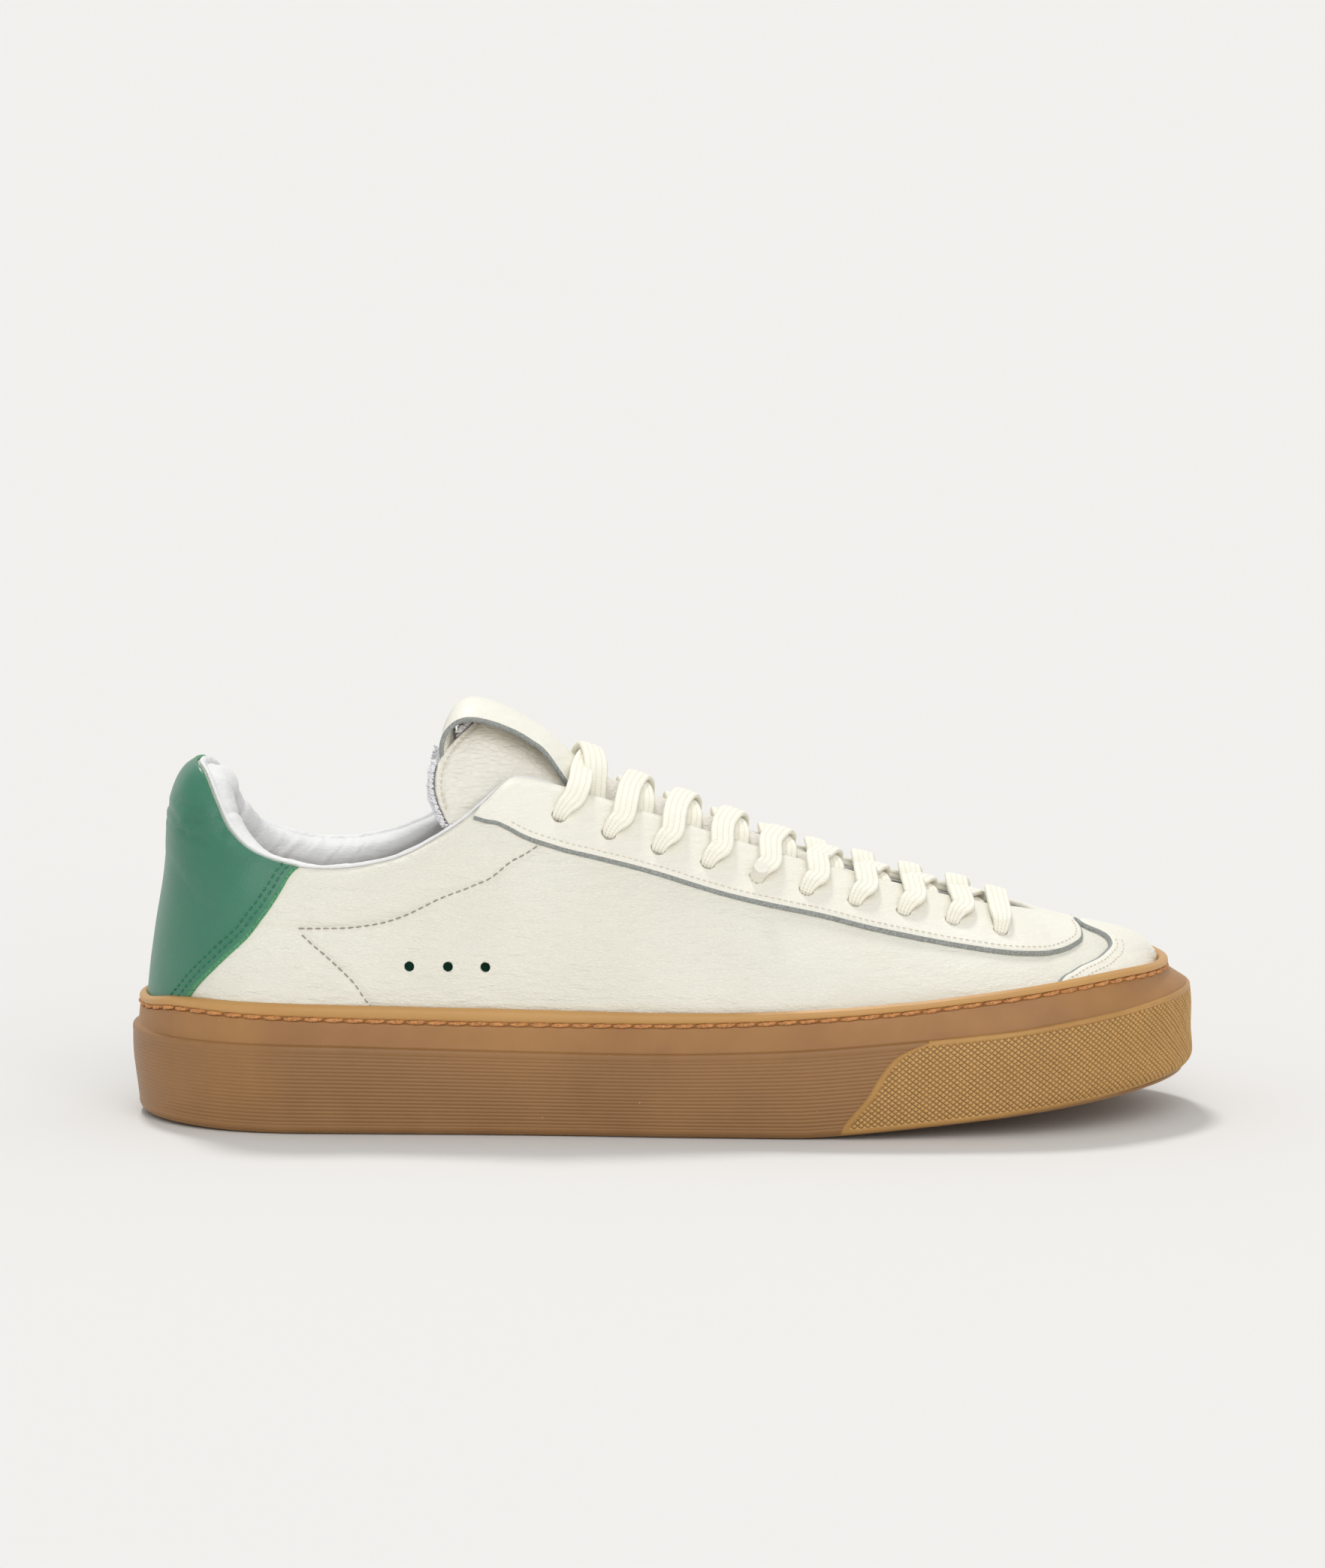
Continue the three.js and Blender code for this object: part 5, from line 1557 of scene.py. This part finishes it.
def make_tongue_shell():
    """The tongue's tumbled leather, puffed towards its top, and the stitches along its end."""
    across = np.sin(np.linspace(-np.pi / 2, np.pi / 2, 90))[None, :]
    share = np.linspace(0, 1, 260)[:, None] ** 1.15
    x = mix(tongue_end(across), TONGUE_BASE, share)
    a = across + 0 * x
    flat = bare_tongue(x, a)
    rear = x - tongue_end(across)
    border = np.minimum(rear, (1 - np.abs(a)) * tongue_half(x) * 1.4)
    soft = smooth(130, 100, x)
    puff = 0.9 * soft * (np.clip(border / 7, 0, 1) ** 0.6 - 0.6)
    lift = puff - 0.55 * bump(border - 1.7, 0.55) - 0.5 * np.clip(1 - border / 0.8, 0, 1) ** 2
    lift = lift + soft * (0.45 * (folds(flat, (5.5, 5.5, 3.6), 4) - 0.62) + 0.2 * (folds(flat, 2.6, 9) - 0.6))
    lift = lift + 0.5 * ripple(flat, 11, 2)
    outer = tongue(x, a, -lift)
    inner = tongue(x, a, TONGUE_LEATHER)
    points, quads, kind = slab(outer, inner)
    kind = np.where(kind == 0, 0, 1)
    obj = make("tongue_leather", points, quads[:, ::-1], [TUMBLED, GREY_EDGE], kind)
    place(obj, "tongue", "ivory_leather", "tongue_shell")
    edge = np.linspace(-0.93, 0.93, 700)
    track = tongue(tongue_end(edge) + 1.75, edge, 0.35)
    lower = tongue(tongue_end(edge) + 1.75, edge, 1.35)
    run = run_of(track)
    pitch, parts, at = 1.9, [], np.linspace(0.15, 0.85, 8)
    bow = np.sin(np.pi * (at - 0.15) / 0.7)
    for k in range(int(run[-1] / pitch)):
        spot = (k + at) * pitch
        centre = read_at(spot, run, track)
        up = unit(centre - read_at(spot, run, lower))
        path = centre + up * (0.3 * bow**0.6 - 0.22)[:, None]
        parts.append(tube(path, 0.15 * (0.4 + 0.6 * bow), 6, up[4]))
    place(make("tongue_stitching", *bundled(parts), [IVORY_THREAD]), "tongue", "ivory_leather")


def make_tongue_terry():
    """The tongue's padding in its terry cover, which stands proud of the leather at the back."""
    n, m = 150, 96
    turn = np.linspace(0, 2 * np.pi, m, endpoint=False)[None, :]
    share = np.linspace(0, 1, n)[:, None] ** 1.1
    across = np.cos(turn) * (0.985 + 0.035 * smooth(140, 100, mix(90, 250, share)))
    proud = 0.6 + 1.3 * smooth(0.68, 0.8, np.abs(across)) + 0.8 * smooth(0.3, 0.2, np.abs(across))
    x = mix(tongue_end(across) - proud, TONGUE_BASE - 0.5, share)
    round_end = np.sqrt(np.clip(1 - (1 - np.clip(share / 0.018, 0, 1)) ** 2, 0.02, 1))
    pad = tongue_pad(x) + 1.0
    middle = TONGUE_LEATHER + 0.35 + pad / 2
    depth = middle - np.sin(turn) * (pad / 2) * round_end
    least = TONGUE_LEATHER + 0.2 - 1.6 * smooth(1.2, -1.4, x - tongue_end(across))
    depth = np.where(np.sin(turn) > 0, np.maximum(depth, least), depth)
    flat = tongue(x, across, depth)
    lumps = 1.0 * ripple(flat, 2.4, 3) + 0.5 * ripple(flat, 1.2, 8)
    reach = smooth(0.3, -0.8, x - tongue_end(across) - 1.0)
    reach = np.maximum(reach, (np.sin(turn) < 0.05) * 1.0)
    depth = depth - np.sign(np.sin(turn) + 1e-9) * lumps * reach * 0.8
    x = x - reach * lumps * 1.1 * smooth(0.05, 0.0, share)
    points = tongue(x, across, depth)
    quads = [ring_quads(n, m)[:, [0, 3, 2, 1]]]
    for end in (0, n - 1):
        half = np.arange(m // 2)
        left, right = end * m + half, end * m + (m - half) % m
        nxt, back = end * m + half + 1, end * m + (m - half - 1) % m
        quad = np.stack([left, nxt, back, right], -1)
        quads.append(quad[1:] if end == 0 else quad[1:, ::-1])
    obj = make("tongue_terry", points, np.concatenate(quads)[:, ::-1], [TERRY])
    place(obj, "tongue", "terry", "tongue_lining", "tongue_foam")

    rng = np.random.default_rng(SEED)
    parts = []
    for _ in range(2100):
        side = rng.choice([-1, 1])
        level = rng.uniform(-0.4, 1.0)
        if rng.random() < 0.62:
            spot_across = rng.uniform(-1.0, 1.0)
            spot_x = tongue_end(spot_across) - 1.2 + rng.uniform(0, 0.6)
            if 0.36 < abs(spot_across) < 0.66:
                continue
            aim = np.array([-1.0, 0.25 * side * abs(spot_across), 0.4 * level])
        else:
            spot_across = side * 1.0
            spot_x = rng.uniform(90, 118)
            aim = np.array([-0.3, 1.0 * side, 0.1])
        base = tongue(spot_x, spot_across, 2.2 - 1.5 * level)
        aim = unit(aim + rng.normal(0, 0.5, 3))
        bend = unit(rng.normal(0, 1, 3))
        t = np.linspace(0, 1, 6)[:, None]
        length = rng.uniform(0.9, 1.5)
        path = base - aim * 0.3 + aim * t * length + bend * np.sin(2.4 * t) * length * 0.35
        thick = rng.uniform(0.26, 0.42) * np.sin(np.pi * np.clip(0.12 + 0.85 * t[:, 0], 0, 1)) ** 0.6
        parts.append(tube(path, thick, 7, bend))
    place(make("tongue_terry_pile", *bundled(parts), [TERRY]), "tongue", "terry")


def make_loop():
    """The pull loop: a band of leather, raw at both edges, bent over the tongue's top."""
    marks = np.array([
        [126.6, 98.6], [124.2, 100.9], [120.6, 104.2], [116.6, 107.6], [111.2, 111.1], [106.6, 113.6],
        [101.2, 115.9], [97.0, 116.8], [93.6, 115.9], [91.5, 113.6], [90.8, 110.2], [91.4, 106.6],
        [93.2, 103.4],
    ])
    path = even(catmull(marks, 400), 0.5)
    n = len(path)
    u = np.linspace(0, 1, n)
    crown = through([0, 0.047], [0.1, 0.036], [0.28, 0.018], [0.66, 0.021], [0.82, 0.03], [1, 0.034])(u)
    sweep = through([0, 0], [0.5, 0.003], [0.7, 0.01], [0.82, 0.014], [1, 0.014])(u)
    run = unit(np.gradient(path, axis=0))
    out = np.stack([run[:, 1], -run[:, 0]], -1)
    width, thick = 27.0, 1.6
    y = np.concatenate([[-0.5], np.linspace(-0.488, 0.488, 41), [0.5]]) * width
    edge = np.clip((width / 2 - np.abs(y)) / 0.35, 0, 1)

    def face(level):
        pinch = level * (0.88 + 0.12 * edge)
        px = path[:, None, 0] + out[:, None, 0] * pinch - sweep[:, None] * y**2
        pz = path[:, None, 1] + out[:, None, 1] * pinch - crown[:, None] * y**2
        py = top_axis(px) + y[None, :]
        return np.stack([px, py, pz], -1)

    outer, inner = face(thick / 2), face(-thick / 2)
    wave = 0.35 * ripple(outer, 7, 3) + 0.16 * ripple(outer, 2.2, 5)
    outer[..., 2] += wave
    inner[..., 2] += wave
    groove = bump(width / 2 - np.abs(y) - 2.3, 0.4) * 0.18
    outer[..., 2] -= groove[None, :]
    points, quads, kind = slab(outer, inner)
    obj = make("pull_loop", points, quads[:, ::-1], [OVERLAY_IVORY, GREY_EDGE, TUMBLED], kind)
    return place(obj, "tongue", "ivory_leather", "tongue_loop")


# ---------------------------------------------------------------- the lace

LACE_WIDTH = 6.6
LACE_THICK = 1.75
LACE_NECK = 4.1
LACE_OVER = 1.5 + 0.3 + LACE_THICK / 2 + 0.35
LACE_UNDER = -3.4


def beside_eyelet(k, side, up, off, ahead):
    """A point up mm above an eyelet's middle, ahead mm in front of it and off mm out."""
    x = FIRST_EYELET + EYELET_PITCH * k
    angle = angle_at(x + ahead)
    length = np.linalg.norm(wall(angle, side, 1.0) - wall(angle, side, 0.7)) / 0.3
    return wall(angle, side, min(1.0, float(eyelet_row(x)) + up / length), off)


def through_eyelet(k, side):
    """The lace's stops over the edge, down through an eyelet and up behind it, for the neck's width."""
    stops = [
        (5.0, LACE_OVER + 0.35, 0.1, 3.6), (2.4, LACE_OVER + 0.25, 0.55, 1.5), (0.7, 2.1, 1, 0.3),
        (-0.1, 0.5, 1.15, 0), (0.0, -1.2, 1.15, 0), (1.5, LACE_UNDER, 0.8, 0), (4.6, LACE_UNDER, 0.2, 0),
    ]
    lean = 0.1 if k == EYELETS - 1 else 1.0
    return [(beside_eyelet(k, side, up, off, lean * ahead), neck) for up, off, neck, ahead in stops]


def crossing(k, side, lift):
    """From under eyelet k + 1 on one side, over the tongue, to above eyelet k on the other."""
    start = FIRST_EYELET + EYELET_PITCH * (k + 1) - EYELET_PITCH * 0.17
    end = FIRST_EYELET + EYELET_PITCH * k + EYELET_PITCH * 0.27
    half = float(top_half((start + end) / 2))

    def over_tongue(share):
        x = mix(start, end, {0.5: 0.04, 0: 0.24, -0.5: 0.52}[share])
        y = side * share * half
        x = float(top_x(angle_at(x)))
        z = float(tongue_crown(x) - tongue_arch(x) * y * y) + 1.9 + lift
        return np.array([x, float(top_axis(x)) + y, z]), 0

    return [
        (wall(angle_at(start + 0.5), side, 1.0, LACE_UNDER), 0),
        over_tongue(0.5), over_tongue(0), over_tongue(-0.5),
        (wall(angle_at(end + 1.8), -side, 1.0, LACE_OVER + 0.3), 0),
    ]


def lace_half(start_side):
    """The stops of one half, from the last eyelet back to the first, and its end inside the shoe."""
    stops = through_eyelet(EYELETS - 1, start_side)
    side = start_side
    for k in range(EYELETS - 2, -1, -1):
        on_top = (side == MEDIAL) == (k > 0)
        stops += crossing(k, side, (2.1 if on_top else 0) + (2.7 if k == 0 else 0))
        side = -side
        stops += through_eyelet(k, side)
    stops.pop()
    for i, (v, off) in enumerate([(0.74, -3.7), (0.64, -4.2), (0.55, -5.2), (0.47, -6.6)]):
        stops.append((wall(angle_at(FIRST_EYELET + 1.2 * i), side, v, off), 0))
    return stops


def centripetal(points, count):
    """A smooth curve through points that bends tightly without overshooting."""
    points = np.asarray(points, float)
    knots = np.concatenate([[0], np.cumsum(np.linalg.norm(np.diff(points[:, :3], axis=0), axis=1) ** 0.5)])
    padded = np.concatenate([[2 * points[0] - points[1]], points, [2 * points[-1] - points[-2]]])
    times = np.concatenate([[2 * knots[0] - knots[1]], knots, [2 * knots[-1] - knots[-2]]])
    at = np.concatenate([
        np.linspace(knots[i], knots[i + 1], count, endpoint=False) for i in range(len(points) - 1)
    ] + [[knots[-1]]])
    i = np.clip(np.searchsorted(knots, at, side="right") - 1, 0, len(points) - 2)
    t0, t1, t2, t3 = (times[i + k][:, None] for k in range(4))
    p0, p1, p2, p3 = (padded[i + k] for k in range(4))
    t = at[:, None]
    a1 = (t1 - t) / (t1 - t0) * p0 + (t - t0) / (t1 - t0) * p1
    a2 = (t2 - t) / (t2 - t1) * p1 + (t - t1) / (t2 - t1) * p2
    a3 = (t3 - t) / (t3 - t2) * p2 + (t - t2) / (t3 - t2) * p3
    b1 = (t2 - t) / (t2 - t0) * a1 + (t - t0) / (t2 - t0) * a2
    b2 = (t3 - t) / (t3 - t1) * a2 + (t - t1) / (t3 - t1) * a3
    return (t2 - t) / (t2 - t1) * b1 + (t - t1) / (t2 - t1) * b2


def make_lace():
    """One flat lace through all the eyelets. It turns its flat face up and narrows at each neck."""
    one, other = lace_half(LATERAL), lace_half(MEDIAL)
    x = float(top_x(angle_at(LAST_EYELET))) + 3.6
    bar = (np.array([x, float(top_axis(x)), float(top_height(x)) + LACE_OVER + 0.9]), 0)
    stops = one[::-1] + [bar] + other
    marks = np.array([[*point, neck] for point, neck in stops])
    fine = even(centripetal(marks, 14), 0.63)
    neck = fine[:, 3]
    path = fine[:, :3]
    run = unit(np.gradient(path, axis=0))
    slope = (top_height(path[:, 0] + 4) - top_height(path[:, 0] - 4)) / 8
    aside = unit(np.stack([np.ones(len(path)), 0 * slope, np.clip(slope, -0.45, 0)], -1))
    aside = unit(aside - run * (aside * run).sum(-1, keepdims=True))
    for _ in range(12):
        aside[1:-1] = unit(aside[:-2] + 2 * aside[1:-1] + aside[2:])
    aside = unit(aside - run * (aside * run).sum(-1, keepdims=True))
    up = np.cross(run, aside)
    smooth_neck = neck.copy()
    for _ in range(10):
        smooth_neck[1:-1] = (smooth_neck[:-2] + 2 * smooth_neck[1:-1] + smooth_neck[2:]) / 4
    half = mix(LACE_WIDTH, LACE_NECK, np.clip(smooth_neck, 0, 1.2)) / 2
    tall = LACE_THICK / 2 * mix(1, 1.2, np.clip(smooth_neck, 0, 1))
    ribs, spokes = 7, 48
    turn = np.linspace(0, 2 * np.pi, spokes, endpoint=False)
    flat_x = np.sign(np.cos(turn)) * np.abs(np.cos(turn)) ** 0.75
    flat_y = np.sign(np.sin(turn)) * np.abs(np.sin(turn)) ** 0.62
    length = run_of(path)
    across = (flat_x + 1) / 2
    grooves = np.abs(np.cos(np.pi * ribs * across)) ** 0.7
    braid = np.cos(2 * np.pi * (length[:, None] / 1.15 + np.abs((across * ribs) % 2 - 1)[None, :]))
    relief = 0.085 * (grooves[None, :] - 0.6) + 0.03 * braid
    fold = 0.28 * np.clip(smooth_neck, 0, 1)[:, None] * (flat_x[None, :] ** 2 - 0.4)
    body = flat_y[None, :] * (tall[:, None] + relief) + fold
    spots = np.stack(np.broadcast_arrays(length[:, None], 4 * flat_x[None, :], flat_y[None, :]), -1)
    fuzz = 0.10 * ripple(spots, 1.3, 2)
    wide = flat_x[None, :] * half[:, None]
    points = path[:, None] + aside[:, None] * (wide + fuzz)[..., None]
    points = points + up[:, None] * (body + fuzz)[..., None]
    n, m = points.shape[:2]
    uv = np.stack(np.broadcast_arrays(across[None, :], length[:, None] / LACE_WIDTH), -1)
    quads = [ring_quads(n, m)]
    for end in (0, n - 1):
        k = np.arange(1, m // 2)
        quad = np.stack([end * m + k - 1, end * m + (m - k + 1) % m, end * m + (m - k) % m, end * m + k], -1)
        quads.append(quad[1:] if end else quad[1:, ::-1])
    obj = make("shoelace", points, np.concatenate(quads), [LACE], uv=uv)
    return place(obj, "shoe", "lace_cotton", "lace")


make_tongue_shell()
make_tongue_terry()
make_loop()
make_lace()


# ---------------------------------------------------------------- the CAD pieces inside the shoe

INSIDE = {
    "midsole_filler": FOAM, "strobel_board": BOARD, "heel_stiffener": BOARD, "toe_puff": BOARD,
    "vent_backing_lateral": UNDERLAY, "vent_backing_medial": UNDERLAY,
    "aglet_lateral": AGLET, "aglet_medial": AGLET,
}
for name, material in INSIDE.items():
    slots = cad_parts[name].data.materials
    slots.clear()
    slots.append(material)
